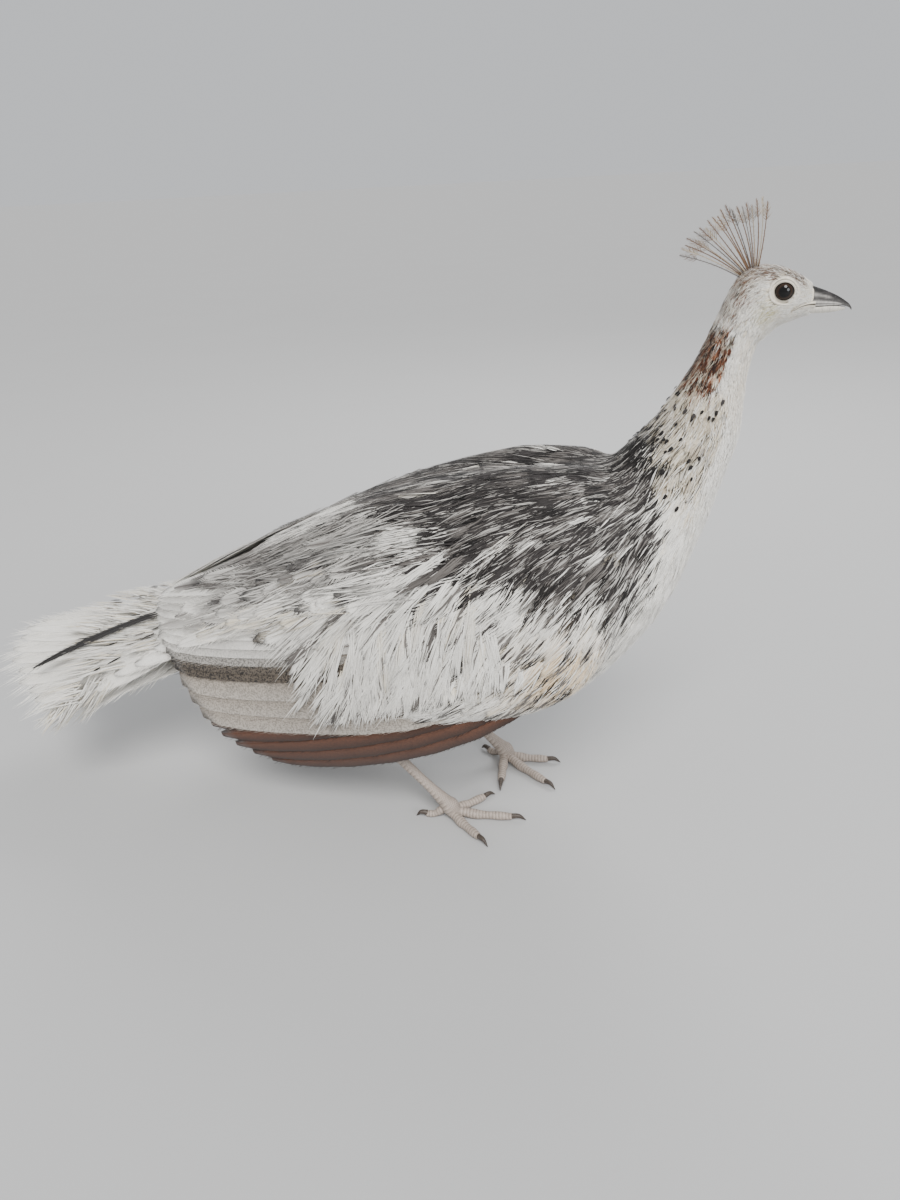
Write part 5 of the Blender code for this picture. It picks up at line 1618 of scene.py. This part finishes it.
def build_skin(bed, material):
    """One closed skin over trunk, neck, head and thighs, as deep under the feathers as the coat is thick."""
    stations = np.concatenate([np.linspace(0.0, 16.0, 90), np.linspace(16.0, LAST_STATION, 90)[1:]])
    angles = np.arange(SKIN_COLUMNS) / SKIN_COLUMNS * 2 * math.pi
    p, q = np.meshgrid(stations, angles, indexing="ij")
    points, normals, _, _ = bed.read(p, q)
    depth = HEAD_COAT_DEPTH + (COAT_DEPTH - HEAD_COAT_DEPTH) * step(17.5, 13.0, p)
    points = points - normals * depth[..., None]
    rump = points[0]
    middle = rump.mean(axis=0)
    rounded_end = middle + (rump - middle) * 0.45
    rows = np.concatenate([rounded_end[None], points])
    tint = mix(BARE_SKIN, BEIGE, 0.4)
    skin = surface_piece("skin", [(rows, tint, True)], None)
    helpers = []
    for side_name in SIDES:
        path, radii = thigh_path(side_name)
        rings = tube_rings(path, radii - THIGH_SKIN_DEPTH, 32)[0]
        helpers.append(surface_piece("thigh_form_" + side_name, [(rings, tint, True)], None))
    for helper in helpers:
        cut = skin.modifiers.new("union", "BOOLEAN")
        cut.operation, cut.solver, cut.object = "UNION", "EXACT", helper
        graph = bpy.context.evaluated_depsgraph_get()
        fused = bpy.data.meshes.new_from_object(skin.evaluated_get(graph))
        skin.modifiers.clear()
        skin.data = fused
        bpy.data.objects.remove(helper)
    skin.data.materials.clear()
    skin.data.materials.append(material)
    skin.data.shade_smooth()
    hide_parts("torso", "neck", "head", "thigh_left", "thigh_right")


def thigh_path(side_name):
    """The thigh's centre line from just below the hock up into the body, with its radii."""
    hock, _, along = leg_line(side_name)
    y = FEET[side_name]["at"][1]
    rise = np.array([KNEE_FROM_HOCK[0], -0.002 * np.sign(y), KNEE_FROM_HOCK[1]])
    points = [hock - along * 0.004, hock + rise * 0.12, hock + rise * 0.55, hock + rise]
    path, radii, _ = resampled(points, THIGH_RADII, 24)
    return path, radii


def leg_line(side_name):
    """Hock, ankle, and the direction from the ankle to the hock."""
    x, y = FEET[side_name]["at"]
    ankle = np.array([x, y, ANKLE_HEIGHT])
    back = TARSUS_LENGTH * math.cos(TARSUS_SLOPE)
    hock = np.array([x - back, y * 0.92, ANKLE_HEIGHT + TARSUS_LENGTH * math.sin(TARSUS_SLOPE)])
    return hock, ankle, unit(hock - ankle)


def build_thigh_coats(material):
    """Short white feathers down each thigh."""
    for side_name in SIDES:
        path, radii = thigh_path(side_name)
        rings = tube_rings(path, radii - THIGH_ROOT_DEPTH, THIGH_COLUMNS)[0]

        def surface(p, q):
            row = np.clip(p * (len(path) - 1), 0, len(path) - 1)
            low = np.minimum(row.astype(int), len(path) - 2)
            share = (row - low)[..., None]
            column = np.round(q / (2 * math.pi) * THIGH_COLUMNS).astype(int) % THIGH_COLUMNS
            return rings[low, column] * (1 - share) + rings[low + 1, column] * share

        bed = Bed(surface, (0.0, 1.0), (0.0, 2 * math.pi), (24, THIGH_COLUMNS), wraps=True)
        middle = bed.table[:, :, :3].mean(axis=1, keepdims=True)
        if ((bed.table[:, :, :3] - middle) * bed.table[:, :, 3:6]).sum() < 0:
            bed.table[:, :, 3:6] *= -1
        rng = np.random.default_rng(SEEDS["thigh_" + side_name])

        def length_at(p, q):
            return np.full(np.shape(q), 0.0085) + 0.010 * np.clip(p, 0, 1)

        p, q = scatter(bed, (0.02, 0.93), length_at, (0.30, 0.30), rng)
        count = len(p)
        base = pick(rng, count, [SNOW, CREAM, PALE_GREY], [0.55, 0.25, 0.2])
        blotch = np.tile(SLATE, (count, 1))
        look = plain_look(base, 0.5, blotch, chance=0.05, spot=0.7, streak=0.4, strand=0.0)
        plumage = Plumage()
        contour_feathers(plumage, bed, p, q, look, rng, length_at(p, q), 0.34, blades=2, each=4)
        piece = plumage.piece("coat_thigh_" + side_name, material)


def head_side(bed, x, z):
    """How far out the head's surface is at places seen from the side."""
    p, q = np.meshgrid(np.linspace(17, 23.9, 140), np.linspace(0.15, 3.0, 120), indexing="ij")
    points = bed.read(p, q)[0].reshape(-1, 3)
    distance = (points[:, 0][None] - x.reshape(-1, 1)) ** 2 + (points[:, 2][None] - z.reshape(-1, 1)) ** 2
    nearest = np.argsort(distance, axis=1)[:, :4]
    weight = 1 / (np.take_along_axis(distance, nearest, 1) + 1e-9)
    return ((points[nearest, 1] * weight).sum(axis=1) / weight.sum(axis=1)).reshape(x.shape)


# Bare ring and lids round an eye, from the feathers inwards: distance from the middle, how much of
# its height is the eyeball's, height off that, share of dark
LID_PROFILE = [
    (0.0104, 0.00, -0.0014, 0.0),
    (0.0098, 0.00, 0.0000, 0.0),
    (0.0093, 0.04, 0.0006, 0.0),
    (0.0089, 0.12, 0.0009, 0.0),
    (0.0085, 0.24, 0.0008, 0.0),
    (0.0081, 0.40, 0.0004, 0.35),
    (0.0077, 0.56, 0.0008, 0.8),
    (0.0073, 0.72, 0.0011, 0.0),
    (0.0069, 0.88, 0.0011, 0.15),
    (0.0065, 1.00, 0.0009, 0.45),
    (0.0062, 1.00, 0.0006, 0.8),
    (0.0060, 1.00, 0.0002, 1.0),
    (0.0060, 1.00, -0.0006, 1.0),
]
LID_COLUMNS = 96


def build_lids(bed, side, side_name, material):
    """Folded lids and a pale bare ring round an eye."""
    around = np.arange(LID_COLUMNS) / LID_COLUMNS * 2 * math.pi
    # The opening is a little longer than high and drawn out to the front
    long = 1.0 + 0.05 * np.maximum(0, np.cos(around)) ** 6
    rows, tints = [], []
    for number, (radius, share, lift, dark) in enumerate(LID_PROFILE):
        x = EYE_CENTRE[0] + radius * 1.03 * long * np.cos(around)
        z = EYE_CENTRE[2] + radius * 0.96 * np.sin(around) - 0.0002 * np.cos(around)
        flat = np.minimum(np.hypot(x - EYE_CENTRE[0], z - EYE_CENTRE[2]), EYE_RADIUS * 0.995)
        ball = EYE_CENTRE[1] + np.sqrt(EYE_RADIUS**2 - flat**2)
        crease = 0.00022 * np.sin(around * 3 + number * 2.4)
        crease = crease + 0.00012 * np.sin(around * 23 + number * 1.3)
        y = head_side(bed, x, z) * (1 - share) + ball * share + lift + crease * (1 - share * 0.6)
        rows.append(np.stack([x, side * y, z], axis=-1))
        shade = 0.94 + 0.06 * np.sin(around * 17 + number)
        tints.append(mix(BARE_SKIN, LID_DARK, dark) * shade[:, None])
    lids = surface_piece("lids_" + side_name, [(np.array(rows), np.array(tints), False)], material)


def build_eyeball(side, side_name, material):
    """A dark ball with a brown iris round its pupil."""
    turns, rings = 64, 40
    lean = np.linspace(0.0, math.pi, rings + 2)[1:-1]
    angle, slope = np.arange(turns) / turns * 2 * math.pi, lean[:, None]
    radius = EYE_RADIUS * 0.985
    points = np.stack([
        EYE_CENTRE[0] + radius * np.sin(slope) * np.cos(angle),
        np.broadcast_to(side * (EYE_CENTRE[1] + radius * np.cos(slope)), (rings, turns)),
        EYE_CENTRE[2] + radius * np.sin(slope) * np.sin(angle),
    ], axis=-1)
    iris = between(radius * np.sin(lean), 0.0036, 0.0040, 0.0046, 0.0060)
    tints = mix(PUPIL, IRIS, iris)[:, None, :]
    eye = surface_piece("eyeball_" + side_name, [(points, tints, True)], material)
    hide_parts("eye_" + side_name)


# The mouth line behind the bill: distance ahead of the bill's base, and height, back to under the eye
GAPE = [(0.0010, 0.4402), (-0.0040, 0.4402), (-0.0085, 0.4391), (-0.0128, 0.4370)]
MOUTH_DEPTH = 0.0016
# Across the mouth line: distance, height off the skin, share of painted shade
GAPE_PROFILE = [
    (-0.0022, -0.0002, 0.0),
    (-0.0016, 0.0010, 0.0),
    (-0.0008, 0.0013, 0.10),
    (-0.0004, 0.0009, 0.9),
    (0.0, 0.0005, 1.0),
    (0.0004, 0.0009, 0.9),
    (0.0009, 0.0012, 0.25),
    (0.0015, 0.0009, 0.05),
    (0.0020, -0.0002, 0.0),
]


def gape_line():
    """The mouth line behind the bill, seen from the side."""
    at = np.linspace(0, len(GAPE) - 1, 40)
    line = smooth_rows(range(len(GAPE)), GAPE, at)
    return np.stack([line[:, 0] + BILL_BASE_X, line[:, 1]], axis=-1)


def build_mouth(bed, side, side_name, material):
    """The corner of the mouth on one side: a groove between two low pale lips, painted dark along its middle
    as shade.
    """
    line = gape_line()
    ahead = unit(np.gradient(line, axis=0))
    upward = np.stack([ahead[:, 1], -ahead[:, 0]], axis=-1)
    taper = np.linspace(1.0, 0.25, len(line))
    rows, tints = [], []
    for off, lift, dark in GAPE_PROFILE:
        x, z = (line + upward * off * taper[:, None]).T
        y = head_side(bed, x, z) + lift * taper
        rows.append(np.stack([x, side * y, z], axis=-1))
        # The groove's middle is painted blackish, as shade
        tints.append(mix(BARE_SKIN, BLACKISH, dark))
    outer = np.array(rows)
    inner = outer[::-1].copy()
    inner[:, :, 1] -= side * MOUTH_DEPTH
    points = np.swapaxes(np.concatenate([outer, inner]), 0, 1)
    lips = surface_piece("mouth_" + side_name, [(points, np.array(tints + tints[::-1]), True)], material)


# Bill sections: distance from its base, mouth-line height, outer height, half width
UPPER_BILL = [
    (-0.0030, 0.4386, 0.4526, 0.0074),
    (0.0003, 0.4388, 0.4512, 0.0071),
    (0.0053, 0.4390, 0.4494, 0.0062),
    (0.0108, 0.4391, 0.4472, 0.0050),
    (0.0163, 0.4389, 0.4445, 0.0037),
    (0.0213, 0.4381, 0.4413, 0.0023),
    (0.0241, 0.4368, 0.4390, 0.0013),
    (0.0256, 0.4352, 0.4368, 0.0005),
]
LOWER_BILL = [
    (-0.0030, 0.4382, 0.4332, 0.0069),
    (0.0003, 0.4382, 0.4334, 0.0067),
    (0.0063, 0.4384, 0.4335, 0.0055),
    (0.0123, 0.4385, 0.4340, 0.0042),
    (0.0175, 0.4381, 0.4348, 0.0028),
    (0.0214, 0.4373, 0.4357, 0.0012),
]
# The nostril: distance from the bill's base and height, half length and half height, slant
NOSTRIL = (0.0056, 0.4452)
NOSTRIL_SIZE = (0.0034, 0.0013)
NOSTRIL_SLANT = 0.10
BILL_INSIDE_POINTS = 9


def build_bill_half(name, profile, ridge, tint, material, node, upper=False):
    """A half of the bill: half-round sections with a ridged outer edge, closed inside by a flat."""
    keys = np.array([row[0] for row in profile])
    stations = np.linspace(keys[0], keys[-1], 72)
    angles = np.linspace(0, math.pi, 41)
    cosine, high = np.cos(angles), np.sin(angles)
    aside = np.abs(cosine)
    rings, tints = [], []
    for x, (inner, outer, width) in zip(stations, smooth_rows(keys, [row[1:] for row in profile], stations)):
        y = width * (np.sign(cosine) * aside**ridge)
        z = inner + (outer - inner) * high
        line = np.stack([np.full_like(y, BILL_BASE_X + x), y, z], axis=-1)
        shade, pale = np.ones(len(angles)), aside**3 * 0.08
        if upper:
            along, rise = x - NOSTRIL[0], z - NOSTRIL[1]
            gap = np.hypot(along / NOSTRIL_SIZE[0], (rise - NOSTRIL_SLANT * along) / NOSTRIL_SIZE[1])
            dent, rim = hump(gap, 0.0, 1.0) * (aside > 0.15), hump(gap, 1.5, 0.5) * (aside > 0.15)
            line[:, 1] -= np.sign(y) * (0.0016 * dent - 0.00030 * rim)
            # The nostril's hollow is painted dark as shade, and its rim painted light as a highlight
            shade = 1 - 0.9 * dent + 1.4 * rim
            # A pale streak at the nostril's height, partly the horn's own paler colour and partly a painted
            # highlight, and a pale lip with a dark line in it
            streak = hump(high, 0.62, 0.10) * step(0.0150, 0.0070, x) * 0.42
            lip = step(0.34, 0.26, high) * step(0.0210, 0.0150, x) * 0.85
            lip = lip * (1 - 0.95 * hump(high, 0.13, 0.055))
            pale = np.maximum(pale, np.maximum(streak, lip))
        # Growth lines round the horn
        line[:, 2] += 0.00005 * math.sin(x * 5200) * high
        flat_y = np.linspace(-width, width, BILL_INSIDE_POINTS + 2)[1:-1]
        flat = np.stack(np.broadcast_arrays(BILL_BASE_X + x, flat_y, inner), axis=-1)
        rings.append(np.concatenate([line, flat]))
        tone = tint * shade[:, None]
        tone = tone + (PALE_GREY - tone) * pale[:, None]
        # The flat inside is painted blackish, as the shade in the closed mouth that shows in the gap between
        # the halves
        tints.append(np.concatenate([tone, np.tile(BLACKISH, (BILL_INSIDE_POINTS, 1))]))
    piece = surface_piece(name, [(np.array(rings), np.array(tints), True)], material)
    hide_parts(node)


# Legs and feet

UP = np.array([0.0, 0.0, 1.0])
# Length and height of a scute on shank, ball and toes
SHANK_SCUTES = (0.0042, 0.0005)
BALL_SCUTES = (0.0036, 0.0004)
TOE_SCUTES = (0.0030, 0.0005)
BALL_RADII = [0.0060, 0.0072, 0.0080, 0.0066]
CLAW_RADII = [0.0025, 0.0019, 0.0003]
# Which way the scutes face round a tube: forward on the shank, up on a toe
SHANK_FACES = math.pi * 1.5
TOE_FACES = math.pi / 2
# Each toe has five swellings, and its end is rounded off
TOE_SWELLING = 0.09
TOE_END = 0.04


def scaled_tube(path, radii, columns, scutes, front):
    """A tube with overlapping scutes across one side and small round scales on the other, as a part
    of a piece."""
    scute, depth = scutes
    rings, angles = tube_rings(path, radii, columns)
    walked = np.concatenate([[0], np.cumsum(np.linalg.norm(np.diff(path, axis=0), axis=1))])
    facing = np.cos(angles - front)[None, :]
    saw = (((walked / scute)[:, None] - 0.10 * (1 - facing)) % 1.0) ** 0.6
    plates = step(-0.55, -0.20, facing)
    small = np.sin(walked[:, None] / (scute * 0.42) * 2 * math.pi) * np.cos(angles * columns * 0.22)[None, :]
    relief = depth * (saw * plates + (0.45 + 0.45 * small) * (1 - plates))
    out = unit(rings - path[:, None, :])
    # The tint follows the relief: painted shade, darkest where scutes and scales lie low
    tone = 0.40 + 0.64 * (saw * plates + (0.5 + 0.5 * small) * (1 - plates))
    return rings + out * (relief - depth * 0.7)[..., None], LEG_SKIN * tone[..., None], True


def build_leg(side_name, leg_skin, claw_horn):
    """Shank and foot with scutes and pads, and four horny claws."""
    hock, ankle, along = leg_line(side_name)
    points = [hock + along * 0.006, hock - along * 0.014, hock - along * 0.055, ankle + along * 0.016,
              ankle + along * 0.0075]
    path, radii, _ = resampled(points, SHANK_RADII, 190)
    shank = surface_piece("leg_" + side_name, [scaled_tube(path, radii, 40, SHANK_SCUTES, SHANK_FACES)],
                          leg_skin)
    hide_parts("shank_" + side_name)

    points = [ankle + along * 0.0078, ankle + along * 0.003, ankle, ankle - along * 0.007 - UP * 0.002]
    path, radii, _ = resampled(points, BALL_RADII, 40)
    parts = [scaled_tube(path, radii, 40, BALL_SCUTES, SHANK_FACES)]
    base = np.array([*FEET[side_name]["at"], 0.0])
    for toe_name, sizes in TOES.items():
        angle = math.radians(FEET[side_name][toe_name])
        heading = np.array([math.cos(angle), math.sin(angle), 0.0])
        parts.append(toe_part(base, heading, *sizes))
        build_claw(base, heading, sizes, f"{side_name}_{toe_name}", claw_horn)
    foot = surface_piece("toes_" + side_name, parts, leg_skin)
    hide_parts("foot_" + side_name)


def toe_part(base, heading, length, claw, start_height, end_height, descent, radius):
    """A toe up to its claw, flat where it rests on the floor."""
    marks = np.linspace(0.0, 1.0, 130)
    height = start_height + (end_height - start_height) * np.minimum(1.0, marks * descent)
    path = base + heading * (length - claw) * marks[:, None] + UP * height[:, None]
    radii = radius * (1 - 0.32 * marks) * (1.0 + TOE_SWELLING * np.cos(marks * 5 * math.pi))
    end = np.maximum(0, marks - (1 - TOE_END)) / TOE_END
    radii = radii * np.sqrt(1 - end**2 * 0.75)
    rings, tints, capped = scaled_tube(path, radii, 32, TOE_SCUTES, TOE_FACES)
    rings[..., 2] = np.maximum(rings[..., 2], 0.0)
    return rings, tints, capped


def build_claw(base, heading, sizes, name, claw_horn):
    """A claw that bends down to the floor, darker towards its tip."""
    length, claw = sizes[:2]
    stretch = length - claw
    root = base + heading * (stretch - 0.0016) + UP * 0.0038
    middle = base + heading * (stretch + claw * 0.48) + UP * 0.0044
    tip = base + heading * (stretch + claw - 0.0002) + UP * 0.0003
    path, radii, marks = resampled([root, middle, tip], CLAW_RADII, 32)
    rings = tube_rings(path, radii, 20)[0]
    rings[..., 2] = np.maximum(rings[..., 2], 0.0)
    tint = CLAW * (1.15 - 0.45 * marks)[:, None, None]
    horn = surface_piece("horn_" + name, [(rings, tint, True)], claw_horn)
    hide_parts("claw_" + name)


# Studio

FLOOR_SIZE = 600.0
FLOOR_BELOW = 0.0005
LIGHT_AIM = (0.0, 0.0, 0.25)


def build_studio():
    """A plain pale floor that runs on to the horizon, and soft light."""
    bpy.ops.mesh.primitive_plane_add(size=FLOOR_SIZE, location=(0, 0, -FLOOR_BELOW))
    floor = bpy.context.object
    floor.name = "floor"
    surface = Nodes("studio_floor", roughness=0.9, specular=0.15)
    cloud = surface.noise(surface.place(), 3.0, 3.0)
    pale = surface.spread(cloud, 0.2, 0.8, 0.452, 0.462)
    floor.data.materials.append(surface.colour(surface.grey(pale)))

    world = bpy.data.worlds.new("studio")
    world.use_nodes = True
    background = world.node_tree.nodes["Background"]
    background.inputs["Color"].default_value = (0.90, 0.92, 0.95, 1)
    background.inputs["Strength"].default_value = 0.76
    bpy.context.scene.world = world

    key = lamp("SUN", "key", (0.5, -1.25, 1.8), 3.4, (1.0, 0.985, 0.96))
    key.angle = math.radians(28)
    fill = lamp("AREA", "fill", (1.6, -1.4, 0.9), 22.0, (0.93, 0.96, 1.0))
    rim = lamp("AREA", "rim", (0.3, 1.5, 1.7), 20.0, (1.0, 1.0, 1.0))
    for light in (fill, rim):
        light.shape, light.size = "DISK", 1.0


def lamp(kind, name, place, energy, colour):
    """A light at a place, turned to the bird."""
    light = bpy.data.lights.new(name, kind)
    light.energy, light.color = energy, colour
    made = bpy.data.objects.new(name, light)
    bpy.context.scene.collection.objects.link(made)
    made.location = place
    made.rotation_mode = "QUATERNION"
    made.rotation_quaternion = look_rotation(LIGHT_AIM + SHIFT - place).to_quaternion()
    return light


def look_rotation(direction):
    """The rotation that points an object's -Z along a direction."""
    back = -direction / np.linalg.norm(direction)
    right = unit(np.cross([0.0, 0.0, 1.0], back))
    up = np.cross(back, right)
    return Matrix([[right[k], up[k], back[k]] for k in range(3)])


def build_camera():
    """The camera that sees the bird as the photo does."""
    camera = bpy.data.cameras.new("camera")
    camera.sensor_fit = "VERTICAL"
    camera.sensor_height = SENSOR
    camera.lens = SENSOR * FOCAL_PIXELS / PICTURE_HEIGHT
    camera.clip_start, camera.clip_end = 0.02, 100.0
    made = bpy.data.objects.new("camera", camera)
    bpy.context.scene.collection.objects.link(made)
    pitch, turn, roll = CAMERA_PITCH, CAMERA_TURN, CAMERA_ROLL
    level = np.array([-math.sin(turn), math.cos(turn), 0.0])
    forward = level * math.cos(pitch) - UP * math.sin(pitch)
    right = np.array([math.cos(turn), math.sin(turn), 0.0])
    up = np.cross(right, forward)
    rolled_right = math.cos(roll) * right + math.sin(roll) * up
    rolled_up = math.cos(roll) * up - math.sin(roll) * right
    place = np.array(CAMERA_PLACE) + SHIFT
    matrix = Matrix.Identity(4)
    for row in range(3):
        matrix[row] = (rolled_right[row], rolled_up[row], -forward[row], place[row])
    made.matrix_world = matrix
    bpy.context.scene.camera = made


def main():
    feathers = feather_material("feathers")
    small_feathers = feather_material("small_feathers", barb_width=0.0005, barb_depth=0.00005, contrast=0.14)
    bed = coat_bed()
    build_skin(bed, skin_material("skin"))
    build_trunk_coat(bed, small_feathers)
    build_thigh_coats(small_feathers)
    for side_name, side in SIDES.items():
        build_wing(side, "wing_" + side_name, feathers)
    build_tail(feathers)
    build_crest(small_feathers)
    lids, eye = skin_material("lids"), eye_material()
    for side_name, side in SIDES.items():
        build_lids(bed, side, side_name, lids)
        build_eyeball(side, side_name, eye)
    for side_name, side in SIDES.items():
        build_mouth(bed, side, side_name, lids)
    dark_horn, pale_horn = horn_material("dark_horn", 0.55), horn_material("pale_horn", 0.34)
    build_bill_half("bill_top", UPPER_BILL, 1.15, HORN, dark_horn, "bill_upper", upper=True)
    build_bill_half("bill_bottom", LOWER_BILL, 1.0, PALE_HORN, pale_horn, "bill_lower")
    leg_skin, claw_horn = leg_material(), horn_material("claw_horn", 0.38)
    for side_name in SIDES:
        build_leg(side_name, leg_skin, claw_horn)
    build_studio()
    build_camera()


main()
